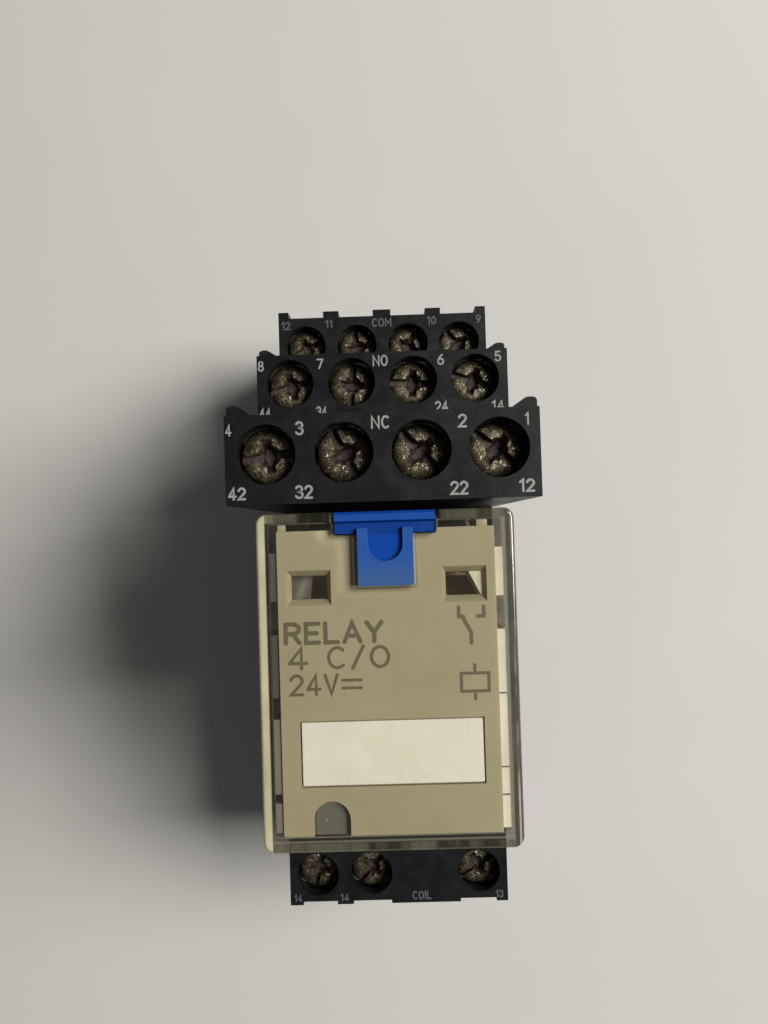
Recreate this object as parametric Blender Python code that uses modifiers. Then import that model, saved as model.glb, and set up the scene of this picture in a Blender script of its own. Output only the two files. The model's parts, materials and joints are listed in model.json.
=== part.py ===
"""Plug-in industrial control relay in its DIN-rail screw socket, as separate moving pieces.

Frame: +Z points out of the panel, towards the operator; the socket's feet stand on z = 0.
+Y points to the contact terminals (three stepped decks), -Y to the coil terminals, and X runs
across the width. The pieces are laid out from the relay's centre line, and the whole is moved
to its footprint's centre at the end.
Lengths below are in millimetres and become metres in the helpers. A pair is a (from, to) range.
"""

import math
from collections import namedtuple

import bmesh
import bpy
from mathutils import Matrix, Vector

MM = 0.001

# ---------------------------------------------------------------- socket dimensions
SOCKET_HALF_X = 27.0 / 2
Z_BODY = 6.2                  # underside of the socket body
Z_SEAT = 26.9                 # seat on which the plug-in relay stands
Z_NC, Z_NO, Z_COM, Z_COIL = 61.0, 44.0, 26.6, 30.0   # terminal deck heights
Y_NC, Y_NO, Y_COM, Y_COIL = 22.55, 31.52, 40.3, -33.6   # outer face below each deck
Y_TOWER, Y_COIL_IN = 14.85, -14.5   # faces of the two towers towards the relay
WALL = 1.3
SEAT_T = 2.0
SHELF = 7.2                   # underside of the terminal shelf, below the deck
RIB_OUT = 0.8                 # how far the common-deck ribs stand out
SNAP_Y = (-23.0, 26.0)        # snaps between body and rear cover
RAIL_Y0, RAIL_Y1 = -14.5, 20.5   # 35 mm rail between the hooks
LATCH_Y = -25.0               # latch origin
LATCH_Z = 2.0
LATCH_END_Y = -37.6

# ---------------------------------------------------------------- terminals
PITCH = 6.667
COLUMNS = [step * PITCH for step in (-1.5, -0.5, 0.5, 1.5)]
BORE_R = 2.6                  # screw access well
POCKET_HALF_X, POCKET_HALF_Y = 2.75, 2.6
POCKET_TOP, POCKET_FLOOR = 1.8, 5.45   # below the deck
RECESS = 1.9                  # screw head below the deck
HEAD_R, HEAD_H = 2.42, 1.5
SHANK_R, SHANK_END = 1.45, 7.0
CLAMP_T = 0.9
CLAMP_GAP = 0.05              # clamp below the screw head

# Deck height, outer face, screw row, wire side (sign of Y),
# then (label, column, turn of the screw in degrees).
TERMINAL_ROWS = (
    (Z_NC, Y_NC, 19.16, 1, (("04", 0, 8), ("03", 1, 118), ("02", 2, 132), ("01", 3, 140))),
    (Z_NO, Y_NO, 28.42, 1, (("08", 0, 14), ("07", 1, 84), ("06", 2, 176), ("05", 3, 160))),
    (Z_COM, Y_COM, 36.64, 1, (("12", 0, 25), ("11", 1, 100), ("10", 2, 60), ("09", 3, 128))),
    (Z_COIL, Y_COIL, -30.3, -1, (("14a", 0, 75), ("14b", 1, 48), ("13", 3, 30))),
)
Terminal = namedtuple("Terminal", "label x y deck face side turn")
TERMINALS = [
    Terminal(label, COLUMNS[column], y, deck, face, side, turn)
    for deck, face, y, side, screws in TERMINAL_ROWS
    for label, column, turn in screws
]

# ---------------------------------------------------------------- relay dimensions
COVER_HALF_X, COVER_HALF_Y = 10.75, 14.0
COVER_T, COVER_TOP_T = 0.8, 0.9
Z_RELAY, Z_TOP = 27.0, 62.8   # relay underside and top
BLADE_X = (-6.6, -2.2, 2.2, 6.6)
COIL_BLADE_X = (BLADE_X[0], BLADE_X[3])
BLADE_Y = {"nc": 10.35, "no": 5.9, "com": -1.5, "coil": -10.35}
BLADE_HALF_X, BLADE_HALF_Y = 1.25, 0.25
BLADE_Z0 = 20.6
WAY_GAP, SLOT_GAP = 0.1, 0.2  # clearance round a blade in the relay base and in the socket
CONTACT_Z = 43.5
COIL_Y = -4.5                 # coil axis
CORE_R, BARREL_R, WINDING_R = 2.8, 3.75, 6.2
COIL_GAP = 0.15               # between core, bobbin and winding
HINGE = (0, 4.75, 32.4)       # armature knife edge
LEVER_AXLE = (0, 13.05, 61.7)
BUTTON_PLACE = (0, 9.6, 60.0)
LED_X, LED_Y = -5.1, -11.7

# ---------------------------------------------------------------- clean scene
for old in list(bpy.data.objects):
    bpy.data.objects.remove(old, do_unlink=True)


def collection(name, parent):
    coll = bpy.data.collections.new(name)
    parent.children.link(coll)
    return coll


parts = collection("control_relay", bpy.context.scene.collection)
helpers = collection("cutters", bpy.context.scene.collection)


# ---------------------------------------------------------------- materials
def material(name, rgb, roughness, metallic=0.0, alpha=1.0):
    mat = bpy.data.materials.new(name)
    mat.use_nodes = True
    inputs = mat.node_tree.nodes["Principled BSDF"].inputs
    inputs["Base Color"].default_value = (*rgb, 1.0)
    inputs["Roughness"].default_value = roughness
    inputs["Metallic"].default_value = metallic
    inputs["Alpha"].default_value = alpha
    mat.diffuse_color = (*rgb, alpha)
    return mat


BLACK = material("socket_black", rgb=(0.018, 0.019, 0.021), roughness=0.45)
SMOKE = material("smoked_cover", rgb=(0.30, 0.29, 0.25), roughness=0.12, alpha=0.4)
BEIGE = material("beige_plate", rgb=(0.52, 0.46, 0.31), roughness=0.55)
BLUE = material("lever_blue", rgb=(0.015, 0.10, 0.42), roughness=0.4)
PAPER = material("label_white", rgb=(0.80, 0.78, 0.68), roughness=0.8)
ZINC = material("screw_zinc", rgb=(0.46, 0.40, 0.26), roughness=0.35, metallic=1.0)
STEEL = material("soft_iron", rgb=(0.55, 0.55, 0.53), roughness=0.35, metallic=1.0)
BRASS = material("contact_brass", rgb=(0.62, 0.45, 0.22), roughness=0.3, metallic=1.0)
YELLOW = material("button_yellow", rgb=(0.75, 0.52, 0.06), roughness=0.45)
BOBBIN = material("bobbin_white", rgb=(0.75, 0.73, 0.66), roughness=0.5)
WIRE = material("coil_wire", rgb=(0.45, 0.16, 0.05), roughness=0.35, metallic=0.6)
BASE = material("relay_base_black", rgb=(0.03, 0.03, 0.03), roughness=0.5)
CARRIER = material("carrier_amber", rgb=(0.30, 0.20, 0.10), roughness=0.5)
BOARD = material("circuit_board", rgb=(0.05, 0.20, 0.10), roughness=0.5)


# ---------------------------------------------------------------- shapes
def helper_object(name, mesh):
    ob = bpy.data.objects.new(name, mesh)
    helpers.objects.link(ob)
    return ob


def from_bmesh(name, bm):
    mesh = bpy.data.meshes.new(name)
    bm.to_mesh(mesh)
    bm.free()
    return helper_object(name, mesh)


def box(name, *ranges):
    """A box over its x, y and z ranges; a range may run either way, so it can be mirrored."""
    bm = bmesh.new()
    bmesh.ops.create_cube(bm, size=1.0)
    bmesh.ops.scale(bm, vec=[abs(b - a) * MM for a, b in ranges], verts=bm.verts)
    bmesh.ops.translate(bm, vec=[(a + b) / 2 * MM for a, b in ranges], verts=bm.verts)
    return from_bmesh(name, bm)


def cylinder(name, radius, span, at, axis="Z", segments=24):
    """A cylinder over a span of the Z or Y axis, centred on at in the other two directions."""
    start, end = span
    bm = bmesh.new()
    bmesh.ops.create_cone(
        bm, cap_ends=True, segments=segments, radius1=radius * MM,
        radius2=radius * MM, depth=(end - start) * MM,
    )
    bmesh.ops.translate(bm, vec=(0, 0, (start + end) / 2 * MM), verts=bm.verts)
    if axis == "Y":
        turn = Matrix(((1, 0, 0), (0, 0, 1), (0, -1, 0))).to_4x4()
        bmesh.ops.transform(bm, matrix=turn, verts=bm.verts)
    bmesh.ops.translate(bm, vec=[c * MM for c in at], verts=bm.verts)
    return from_bmesh(name, bm)


def frustum(name, x, y, bottom, top):
    """A four-sided funnel; bottom and top are (z, half x, half y)."""
    bm = bmesh.new()
    low, high = (
        [bm.verts.new(((x + i * half_x) * MM, (y + j * half_y) * MM, z * MM))
         for i, j in ((-1, -1), (1, -1), (1, 1), (-1, 1))]
        for z, half_x, half_y in (bottom, top)
    )
    bm.faces.new(low[::-1])
    bm.faces.new(high)
    for k in range(4):
        after = (k + 1) % 4
        bm.faces.new((low[k], low[after], high[after], high[k]))
    return from_bmesh(name, bm)


def settled(ob):
    """The object's evaluated mesh, welded, as a new mesh in world space."""
    bpy.context.view_layer.update()
    graph = bpy.context.evaluated_depsgraph_get()
    mesh = bpy.data.meshes.new_from_object(ob.evaluated_get(graph))
    mesh.transform(ob.matrix_world)
    bm = bmesh.new()
    bm.from_mesh(mesh)
    bmesh.ops.remove_doubles(bm, verts=bm.verts, dist=1e-6)
    bmesh.ops.recalc_face_normals(bm, faces=bm.faces)
    bm.to_mesh(mesh)
    bm.free()
    return mesh


def extruded(name, points, half_depth, placement):
    """A filled 2D curve with thickness, placed and made a mesh."""
    curve = bpy.data.curves.new(name, "CURVE")
    curve.dimensions = "2D"
    curve.fill_mode = "BOTH"
    curve.extrude = half_depth * MM
    spline = curve.splines.new("POLY")
    spline.points.add(len(points) - 1)
    for point, (u, v) in zip(spline.points, points):
        point.co = (u * MM, v * MM, 0.0, 1.0)
    spline.use_cyclic_u = True
    curve_ob = helper_object(name + "_curve", curve)
    curve_ob.matrix_world = placement
    mesh = settled(curve_ob)
    bpy.data.objects.remove(curve_ob, do_unlink=True)
    return helper_object(name, mesh)


def extrude_z(name, points, z0, z1):
    """An (x, y) outline extruded from z0 to z1."""
    placement = Matrix.Translation((0, 0, (z0 + z1) / 2 * MM))
    return extruded(name, points, (z1 - z0) / 2, placement)


def extrude_x(name, points, x0, x1):
    """A (y, z) outline extruded from x0 to x1."""
    mid = (x0 + x1) / 2 * MM
    placement = Matrix(((0, 0, 1, mid), (1, 0, 0, 0), (0, 1, 0, 0), (0, 0, 0, 1)))
    return extruded(name, points, (x1 - x0) / 2, placement)


def arc(mid_x, mid_y, radius_x, radius_y, degrees):
    """Points of an elliptical arc at the given angles."""
    return [
        (mid_x + radius_x * math.cos(math.radians(a)), mid_y + radius_y * math.sin(math.radians(a)))
        for a in degrees
    ]


def rounded(half_x, half_y, radius, steps=4, mid_y=0.0):
    """Points of a rounded rectangle, anticlockwise."""
    points = []
    for sx, sy, start in ((1, 1, 0), (-1, 1, 90), (-1, -1, 180), (1, -1, 270)):
        degrees = [start + 90 * k / steps for k in range(steps + 1)]
        points += arc(sx * (half_x - radius), mid_y + sy * (half_y - radius),
                      radius, radius, degrees)
    return points


def lathe(name, profile, steps):
    """A turned shape about Z from (radius, z) points that run down the outer side."""
    mesh = bpy.data.meshes.new(name)
    edges = [(i, i + 1) for i in range(len(profile) - 1)]
    mesh.from_pydata([(r * MM, 0, z * MM) for r, z in profile], edges, [])
    ob = helper_object(name, mesh)
    screw = ob.modifiers.new("turn", "SCREW")
    screw.axis = "Z"
    screw.steps = screw.render_steps = steps
    screw.use_merge_vertices = True
    screw.merge_threshold = 1e-6
    screw.use_smooth_shade = False
    turned = settled(ob)
    ob.modifiers.clear()
    ob.data = turned
    return ob


def boolean(ob, operation, objects, name):
    """Adds one Boolean that takes all the objects, gathered in a hidden collection."""
    operands = collection(f"{ob.name}_{name}", helpers)
    for operand in objects:
        helpers.objects.unlink(operand)
        operands.objects.link(operand)
        operand.hide_render = True
        operand.display_type = "WIRE"
    mod = ob.modifiers.new(name, "BOOLEAN")
    mod.operation = operation
    mod.solver = "EXACT"
    mod.operand_type = "COLLECTION"
    mod.collection = operands


def join(ob, objects, name):
    boolean(ob, "UNION", objects, name)


def cut(ob, objects, name):
    boolean(ob, "DIFFERENCE", objects, name)


# ---------------------------------------------------------------- parts
def finished_mesh(ob, mat):
    mesh = settled(ob)
    mesh.name = ob.name
    mesh.materials.clear()
    mesh.materials.append(mat)
    return mesh


def place_of(ob):
    """World position from the chain of parents, none of which is turned; zero for None."""
    return ob.location + place_of(ob.parent) if ob else Vector()


def part(ob, mat, origin=(0, 0, 0), parent=None):
    """Makes ob a part: modifiers settled, origin at the given point, parent an empty."""
    mesh = finished_mesh(ob, mat)
    place = Vector([c * MM for c in origin])
    mesh.transform(Matrix.Translation(-place))
    ob.modifiers.clear()
    ob.data = mesh
    helpers.objects.unlink(ob)
    parts.objects.link(ob)
    ob.parent = parent
    ob.location = place - place_of(parent)


def relay_part(ob, mat, relay, x=0):
    part(ob, mat, (x, 0, Z_RELAY), relay)


def empty(name, at, parent=None):
    ob = bpy.data.objects.new(name, None)
    ob.empty_display_size = 0.004
    parts.objects.link(ob)
    ob.location = Vector([c * MM for c in at]) - place_of(parent)
    ob.parent = parent
    return ob


# ================================================================ socket body
# X ranges of the upright ribs on the two end faces and of the four hollow channels
COM_RIBS_X = (
    (-SOCKET_HALF_X, -12.2), (-7.65, -5.65), (-1.15, 1.15), (5.65, 7.65), (12.2, SOCKET_HALF_X),
)
COIL_RIBS_X = ((-SOCKET_HALF_X, -11.9), (-7.65, -5.65), (-0.9, 7.65), (12.1, SOCKET_HALF_X))
CHANNELS_X = ((-12.3, -7.2), (-6.13, -0.53), (0.53, 6.13), (7.2, 12.3))
# Cheeks: row, face, how far they stand out, bottom, top
CHEEKS = (
    ("nc", Y_NC, 0.98, Z_NO - 0.6, Z_NC - 0.9),
    ("no", Y_NO, 0.95, Z_COM - 0.6, Z_NO - 1.5),
)
# Stepped side views (y, z) of the body and of the hollow inside it
BODY_PROFILE = (
    (Y_COIL, Z_BODY), (Y_COM, Z_BODY), (Y_COM, Z_COM), (Y_NO, Z_COM), (Y_NO, Z_NO),
    (Y_NC, Z_NO), (Y_NC, Z_NC), (Y_TOWER, Z_NC), (Y_TOWER, Z_SEAT), (Y_COIL_IN, Z_SEAT),
    (Y_COIL_IN, Z_COIL), (Y_COIL, Z_COIL),
)
CHANNEL_PROFILE = (
    (Y_COIL + WALL, 4.0), (Y_COM - WALL, 4.0),
    (Y_COM - WALL, Z_COM - SHELF), (Y_NO - WALL, Z_COM - SHELF),
    (Y_NO - WALL, Z_NO - SHELF), (Y_NC - WALL, Z_NO - SHELF),
    (Y_NC - WALL, Z_NC - SHELF), (Y_TOWER + WALL, Z_NC - SHELF),
    (Y_TOWER + WALL, Z_SEAT - SEAT_T), (Y_COIL_IN + 0.5, Z_SEAT - SEAT_T),
    (Y_COIL_IN + 0.5, Z_COIL - SHELF), (Y_COIL + WALL, Z_COIL - SHELF),
)


def cheek(row, side, face, rise, z0, z1):
    """A rounded cheek beside the outer wire entries."""
    return extrude_z(f"cheek_{row}_{side}", [
        (side * 11.1, face - 0.6), (side * 13.48, face - 0.6),
        (side * 13.48, face + rise - 0.3), (side * 13.36, face + rise - 0.08),
        (side * 13.1, face + rise), (side * 12.65, face + rise),
        (side * 12.4, face + rise - 0.1), (side * 11.4, face + 0.2),
    ], z0, z1)


def body_additions():
    adds = [
        box(f"com_rib_{i}", xs, (Y_COM - 0.6, Y_COM + RIB_OUT), (Z_BODY, Z_COM))
        for i, xs in enumerate(COM_RIBS_X)
    ]
    adds += [
        box(f"coil_rib_{i}", xs, (Y_COIL - 0.4, Y_COIL + 0.5), (Z_BODY, Z_COIL))
        for i, xs in enumerate(COIL_RIBS_X)
    ]
    adds += [cheek(row, side, *sizes) for side in (-1, 1) for row, *sizes in CHEEKS]
    return adds


def terminal_cutters(terminal):
    """Screw well, clamp pocket, wire entry, its wider mouth and the hole for the screw's end."""
    label, x, y, z, face, side, _ = terminal
    outside = face + side * 2.0
    return [
        cylinder(f"bore_{label}", BORE_R, (z - 2.6, z + 0.6), (x, y, 0)),
        box(f"pocket_{label}", (x - POCKET_HALF_X, x + POCKET_HALF_X),
            (y - POCKET_HALF_Y, y + POCKET_HALF_Y), (z - POCKET_FLOOR, z - POCKET_TOP)),
        box(f"entry_{label}", (x - 2.2, x + 2.2), (y + side * 2.2, outside), (z - 5.4, z - 3.2)),
        box(f"funnel_{label}", (x - 2.55, x + 2.55), (face - side * 0.45, outside),
            (z - 5.75, z - 2.85)),
        cylinder(f"thread_{label}", 1.75, (z - SHELF - 0.4, z - POCKET_FLOOR + 0.3), (x, y, 0),
                 segments=12),
    ]


def blade_cutter(name, x, row, gap, z_range):
    y = BLADE_Y[row]
    half_x, half_y = BLADE_HALF_X + gap, BLADE_HALF_Y + gap
    return box(name, (x - half_x, x + half_x), (y - half_y, y + half_y), z_range)


def body_cutters():
    cuts = [extrude_x(f"channel_{i}", CHANNEL_PROFILE, *xs) for i, xs in enumerate(CHANNELS_X)]
    cuts.append(box("well", (-12.3, 12.3), (-13.4, 13.6), (3.0, Z_SEAT - SEAT_T)))
    for terminal in TERMINALS:
        cuts += terminal_cutters(terminal)
    slot_z = (23.5, 28.0)
    for i, x in enumerate(BLADE_X):
        for row in ("nc", "no", "com"):
            cuts.append(blade_cutter(f"slot_{row}_{i}", x, row, SLOT_GAP, slot_z))
    for x in COIL_BLADE_X:
        cuts.append(blade_cutter(f"slot_coil_{x}", x, "coil", SLOT_GAP, slot_z))
    for side in (-1, 1):
        for y in SNAP_Y:
            cuts.append(box(f"snap_window_{side}_{y}", (side * 11.8, side * 14.2),
                            (y - 2.6, y + 2.6), (8.0, 10.2)))
        cuts.append(box(f"clip_notch_{side}", (side * 12.9, side * 14.2),
                        (-18.6, -16.6), (20.5, 27.5)))
    return cuts


def build_socket_body():
    body = extrude_x("socket_body", BODY_PROFILE, -SOCKET_HALF_X, SOCKET_HALF_X)
    join(body, body_additions(), "ribs")
    cut(body, body_cutters(), "hollows")
    part(body, BLACK)


# ================================================================ socket rear cover and latch
def build_socket_base():
    """Rear cover with the fixed rail hook on +Y and the way for the latch on -Y."""
    base = extrude_x("socket_base", [
        (Y_COIL, 0), (RAIL_Y0 - 1.5, 0), (RAIL_Y0 - 1.5, 5.0), (RAIL_Y1 + 1.7, 5.0),
        (RAIL_Y1 + 1.7, 3.9), (RAIL_Y1 - 0.9, 3.9), (RAIL_Y1 - 0.9, 2.9), (RAIL_Y1 + 1.3, 0),
        (Y_COM, 0), (Y_COM, 6.0), (Y_COIL, 6.0),
    ], -13.3, 13.3)
    snaps = []
    for side in (-1, 1):
        for y in SNAP_Y:
            ys = (y - 2.2, y + 2.2)
            snaps += [
                box(f"tongue_{side}_{y}", (side * 11.1, side * 12.15), ys, (5.5, 10.6)),
                box(f"lug_{side}_{y}", (side * 11.9, side * 13.35), ys, (8.35, 9.75)),
            ]
    join(base, snaps, "snaps")
    way_y = (-40.0, -13.0)
    cut(base, [
        box("latch_way", (-5.1, 5.1), way_y, (-1.0, 3.75)),
        box("latch_groove", (-6.15, 6.15), way_y, (1.65, 3.75)),
    ], "latch_slot")
    part(base, BLACK)


def build_din_latch():
    """Sliding rail latch with side flanges and an eye near its outer end."""
    origin = (0, LATCH_Y, LATCH_Z)
    axis = empty("din_latch_axis", origin)
    latch = extrude_x("din_latch", [
        (LATCH_END_Y, 0.45), (-15.2, 0.45), (-13.4, 2.2), (-13.4, 3.6), (LATCH_END_Y, 3.6),
    ], -4.95, 4.95)
    join(latch, [box("latch_flange", (-6.0, 6.0), (-33.0, -17.0), (1.8, 3.45))], "flanges")
    cut(latch, [box("latch_eye", (-2.4, 2.4), (-36.5, -35.0), (-1, 5))], "eye")
    part(latch, BLACK, origin, axis)


# ================================================================ screws and wire clamps
def shared_mesh(blank, mat):
    mesh = finished_mesh(blank, mat)
    bpy.data.objects.remove(blank, do_unlink=True)
    return mesh


def make_screw_mesh():
    """Screw with the top of its head at z = 0 and a slot-and-cross drive."""
    blank = lathe("screw_blank", [
        (0, 0), (HEAD_R, 0), (HEAD_R, -HEAD_H), (SHANK_R, -HEAD_H),
        (SHANK_R, -SHANK_END), (0, -SHANK_END),
    ], 16)
    cut(blank, [
        box("drive_slot", (-3.0, 3.0), (-0.4, 0.4), (-0.85, 0.5)),
        box("drive_cross", (-0.42, 0.42), (-1.45, 1.45), (-1.05, 0.5)),
    ], "drive")
    return shared_mesh(blank, ZINC)


def make_clamp_mesh():
    """Square plate with its top at z = 0 and a hole for the screw."""
    blank = box("clamp_blank", (-2.55, 2.55), (-2.35, 2.35), (-CLAMP_T, 0))
    cut(blank, [cylinder("clamp_hole", 1.62, (-3, 2), (0, 0, 0), segments=12)], "hole")
    return shared_mesh(blank, ZINC)


def hang(name, mesh, axis, z):
    ob = bpy.data.objects.new(name, mesh)
    parts.objects.link(ob)
    ob.parent = axis
    ob.location = (0, 0, z * MM)
    return ob


def build_terminals():
    screw_mesh = make_screw_mesh()
    clamp_mesh = make_clamp_mesh()
    for t in TERMINALS:
        axis = empty(f"clamp_axis_{t.label}", (t.x, t.y, t.deck - RECESS - HEAD_H))
        hang(f"wire_clamp_{t.label}", clamp_mesh, axis, -CLAMP_GAP)
        screw = hang(f"terminal_screw_{t.label}", screw_mesh, axis, HEAD_H)
        screw.rotation_euler = (0, 0, math.radians(t.turn))


# ================================================================ relay cover and base
def build_relay_cover(relay):
    cover = extrude_z("relay_cover", rounded(COVER_HALF_X, COVER_HALF_Y, 0.9), 27.75, Z_TOP)
    inside = rounded(COVER_HALF_X - COVER_T, COVER_HALF_Y - COVER_T, 0.4, 3)
    cuts = [
        extrude_z("cover_hollow", inside, Z_RELAY, Z_TOP - COVER_TOP_T),
        box("lever_bar_slot", (-4.3, 4.3), (12.05, 15.0), (60.5, 64.0)),
        box("lever_stem_slot", (-2.5, 2.5), (7.65, 12.5), (61.0, 64.0)),
    ]
    for side in (-1, 1):
        cuts.append(box(f"cover_window_{side}", (side * 9.5, side * 11.4),
                        (-4.0, 4.0), (28.5, 30.0)))
    cut(cover, cuts, "hollow")
    relay_part(cover, SMOKE, relay)


def build_relay_base(relay):
    """Base with a flange, side lugs for the cover's windows and a way for every blade."""
    base = extrude_z("relay_base", rounded(9.8, 13.05, 0.8, 3), 27.3, 30.8)
    adds = [extrude_z("base_flange", rounded(10.65, 13.9, 1.2, 3), Z_RELAY, 27.6)]
    for side in (-1, 1):
        adds.append(box(f"base_lug_{side}", (side * 9.5, side * 10.65),
                        (-3.7, 3.7), (28.7, 29.8)))
    join(base, adds, "flange")
    cut(base, [
        blade_cutter(f"way_{row}_{i}", x, row, WAY_GAP, (26.0, 32.0))
        for i, x in enumerate(BLADE_X)
        for row in BLADE_Y
        if row != "coil" or x in COIL_BLADE_X
    ], "ways")
    relay_part(base, BASE, relay)


# ================================================================ terminal strips
# Row: terminal numbers, their x, blade top on its +Y side, (y, z) points of the bent part,
# blade top on its -Y side, y range of the contact button
STRIPS = {
    "nc": ((4, 3, 2, 1), BLADE_X, 32.6,
           ((9.65, 34.2), (9.65, 45.2), (9.25, 45.2), (9.25, 34.0)), 32.2, (8.5, 9.4)),
    "no": ((8, 7, 6, 5), BLADE_X, 31.2,
           ((6.5, 32.2), (6.5, 45.2), (6.1, 45.2), (6.1, 32.4)), 31.4, (6.4, 6.95)),
    "com": ((12, 11, 10, 9), BLADE_X, 31.2, (), 31.2, None),
    "coil": ((14, 13), COIL_BLADE_X, 31.2,
             ((-11.25, 32.6), (-11.25, 38.0), (-11.65, 38.0), (-11.65, 32.4)), 31.0, None),
}


def contact_button(name, x, y_range):
    return cylinder(name, 0.9, y_range, (x, 0, CONTACT_Z), "Y", segments=10)


def build_terminal_strips(relay):
    for row, (numbers, columns, top_plus, bent, top_minus, button) in STRIPS.items():
        minus, plus = BLADE_Y[row] - BLADE_HALF_Y, BLADE_Y[row] + BLADE_HALF_Y
        points = [(minus, BLADE_Z0), (plus, BLADE_Z0), (plus, top_plus), *bent, (minus, top_minus)]
        for number, x in zip(numbers, columns):
            name = f"{row}_terminal_{number:02d}"
            strip = extrude_x(name, points, x - BLADE_HALF_X, x + BLADE_HALF_X)
            if button:
                join(strip, [contact_button(name + "_button", x, button)], "button")
            relay_part(strip, BRASS, relay, x)


# ================================================================ magnet
def coil_cylinder(name, radius, z_range, segments=20):
    return cylinder(name, radius, z_range, (0, COIL_Y, 0), segments=segments)


def build_yoke(relay):
    yoke = box("yoke", (-6.5, 6.5), (-9.0, 4.0), (31.4, 32.7))
    cut(yoke, [coil_cylinder("yoke_rivet_hole", 1.65, (30, 34), 16)], "rivet")
    relay_part(yoke, STEEL, relay)


def build_iron_core(relay):
    """Core with its pole plate on top and a rivet into the yoke."""
    core = coil_cylinder("iron_core", CORE_R, (32.85, 57.2))
    join(core, [
        box("pole_plate", (-5.6, 5.6), (-9.0, 3.05), (56.7, 58.0)),
        coil_cylinder("core_rivet", 1.55, (31.2, 33.2), 16),
    ], "pole")
    relay_part(core, STEEL, relay)


def build_coil_bobbin(relay):
    bobbin = coil_cylinder("coil_bobbin", BARREL_R, (33.2, 56.2))
    flange = rounded(7.4, 6.7, 1.0, 2, COIL_Y)
    join(bobbin, [
        extrude_z("flange_low", flange, 32.95, 33.85),
        extrude_z("flange_high", flange, 55.6, 56.5),
    ], "flanges")
    cut(bobbin, [coil_cylinder("bobbin_bore", CORE_R + COIL_GAP, (30, 60))], "bore")
    relay_part(bobbin, BOBBIN, relay)


def build_coil_winding(relay):
    winding = coil_cylinder("coil_winding", WINDING_R, (34.0, 55.45), 28)
    cut(winding, [coil_cylinder("winding_bore", BARREL_R + COIL_GAP, (30, 60))], "bore")
    relay_part(winding, WIRE, relay)


# ================================================================ armature and contact carrier
# (x, y) outlines of the two flags, by side
FLAGS = {
    -1: ((-8.4, 6.0), (-6.7, 6.0), (-6.35, 8.8), (-8.4, 8.8)),
    1: ((8.0, 6.0), (8.45, 6.0), (8.45, 8.8), (6.7, 8.8)),
}


def build_armature(swing):
    armature = extrude_x("armature", [
        (4.25, 32.0), (4.5, 31.7), (5.0, 31.7), (5.25, 32.0), (5.25, 58.6), (4.25, 58.6),
    ], -6.5, 6.5)
    part(armature, STEEL, HINGE, swing)


def build_contact_carrier(swing):
    """Carrier bar with the push arm, four contact springs and two flags on posts."""
    carrier = box("contact_carrier", (-8.6, 8.6), (5.35, 8.0), (51.0, 57.0))
    adds = [box("push_arm", (-2.2, 2.2), (6.4, 11.3), (56.5, 57.6))]
    for side in (-1, 1):
        adds.append(box(f"push_tab_{side}", (side * 1.4, side * 2.2), (10.0, 11.3), (57.0, 61.75)))
    for i, x in enumerate(BLADE_X):
        adds.append(box(f"movable_{i}", (x - 0.95, x + 0.95), (7.8, 8.1), (42.3, 54.0)))
        adds.append(contact_button(f"movable_button_{i}", x, (7.55, 8.4)))
    for side, flag in FLAGS.items():
        adds.append(box(f"flag_post_{side}", (side * 7.95, side * 8.35), (6.1, 7.8), (56.5, 59.6)))
        adds.append(extrude_z(f"flag_{side}", flag, 59.2, 59.9))
    join(carrier, adds, "springs")
    part(carrier, CARRIER, HINGE, swing)


# ================================================================ indicator plate and LED board
# Y ranges of the legs under the plate's edges, by side
PLATE_LEGS = {
    1: ((6.6, 10.7), (-1.5, 3.8), (-7.65, -1.62), (-9.95, -7.78), (-12.75, -10.1)),
    -1: ((6.6, 10.7), (-1.5, 3.8), (-9.55, -3.3), (-12.75, -10.3)),
}
WINDOW_X = 6.55
WINDOW_HALF_X = 1.53
LED_ARCH_R = 1.53


def plate_cutters():
    left, right = LED_X - LED_ARCH_R, LED_X + LED_ARCH_R
    arch = [
        (right, -14.0), (right, LED_Y),
        *arc(LED_X, LED_Y, LED_ARCH_R, LED_ARCH_R, range(15, 180, 15)),
        (left, LED_Y), (left, -14.0),
    ]
    cuts = [
        extrude_z("led_arch", arch, 59.0, 63.0),
        box("label_recess", (-7.6, 7.86), (-9.0, -3.45), (61.32, 63.0)),
        box("bar_notch", (-4.35, 4.35), (12.05, 14.0), (59.0, 63.0)),
        box("cam_way", (-2.3, 2.3), (8.1, 12.4), (59.0, 63.0)),
    ]
    for side in (-1, 1):
        x = side * WINDOW_X
        cuts.append(box(f"view_window_{side}", (x - WINDOW_HALF_X, x + WINDOW_HALF_X),
                        (6.7, 8.7), (59.0, 61.2)))
        cuts.append(frustum(f"window_frame_{side}", x, 7.7, bottom=(61.1, WINDOW_HALF_X, 1.0),
                            top=(61.8, 1.93, 1.58)))
    return cuts


def build_indicator_plate(relay):
    """Plate under the cover's top: view windows, label recess, LED arch, lever openings."""
    plate = box("indicator_plate", (-9.18, 9.18), (-13.1, 12.5), (60.8, 61.7))
    adds = [
        box("corner_tab_left", (-9.1, -8.45), (12.0, 13.05), (60.9, 61.35)),
        box("corner_tab_right", (7.75, 8.65), (12.0, 13.05), (60.9, 61.35)),
    ]
    for side, legs in PLATE_LEGS.items():
        for i, ys in enumerate(legs):
            adds.append(box(f"plate_leg_{side}_{i}", (side * 8.9, side * 9.85), ys, (57.6, 61.5)))
    join(plate, adds, "legs")
    cut(plate, plate_cutters(), "openings")
    relay_part(plate, BEIGE, relay)


def build_label(relay):
    label = box("write_on_label", (-7.47, 7.73), (-8.87, -3.58), (61.37, 61.62))
    relay_part(label, PAPER, relay)


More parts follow.
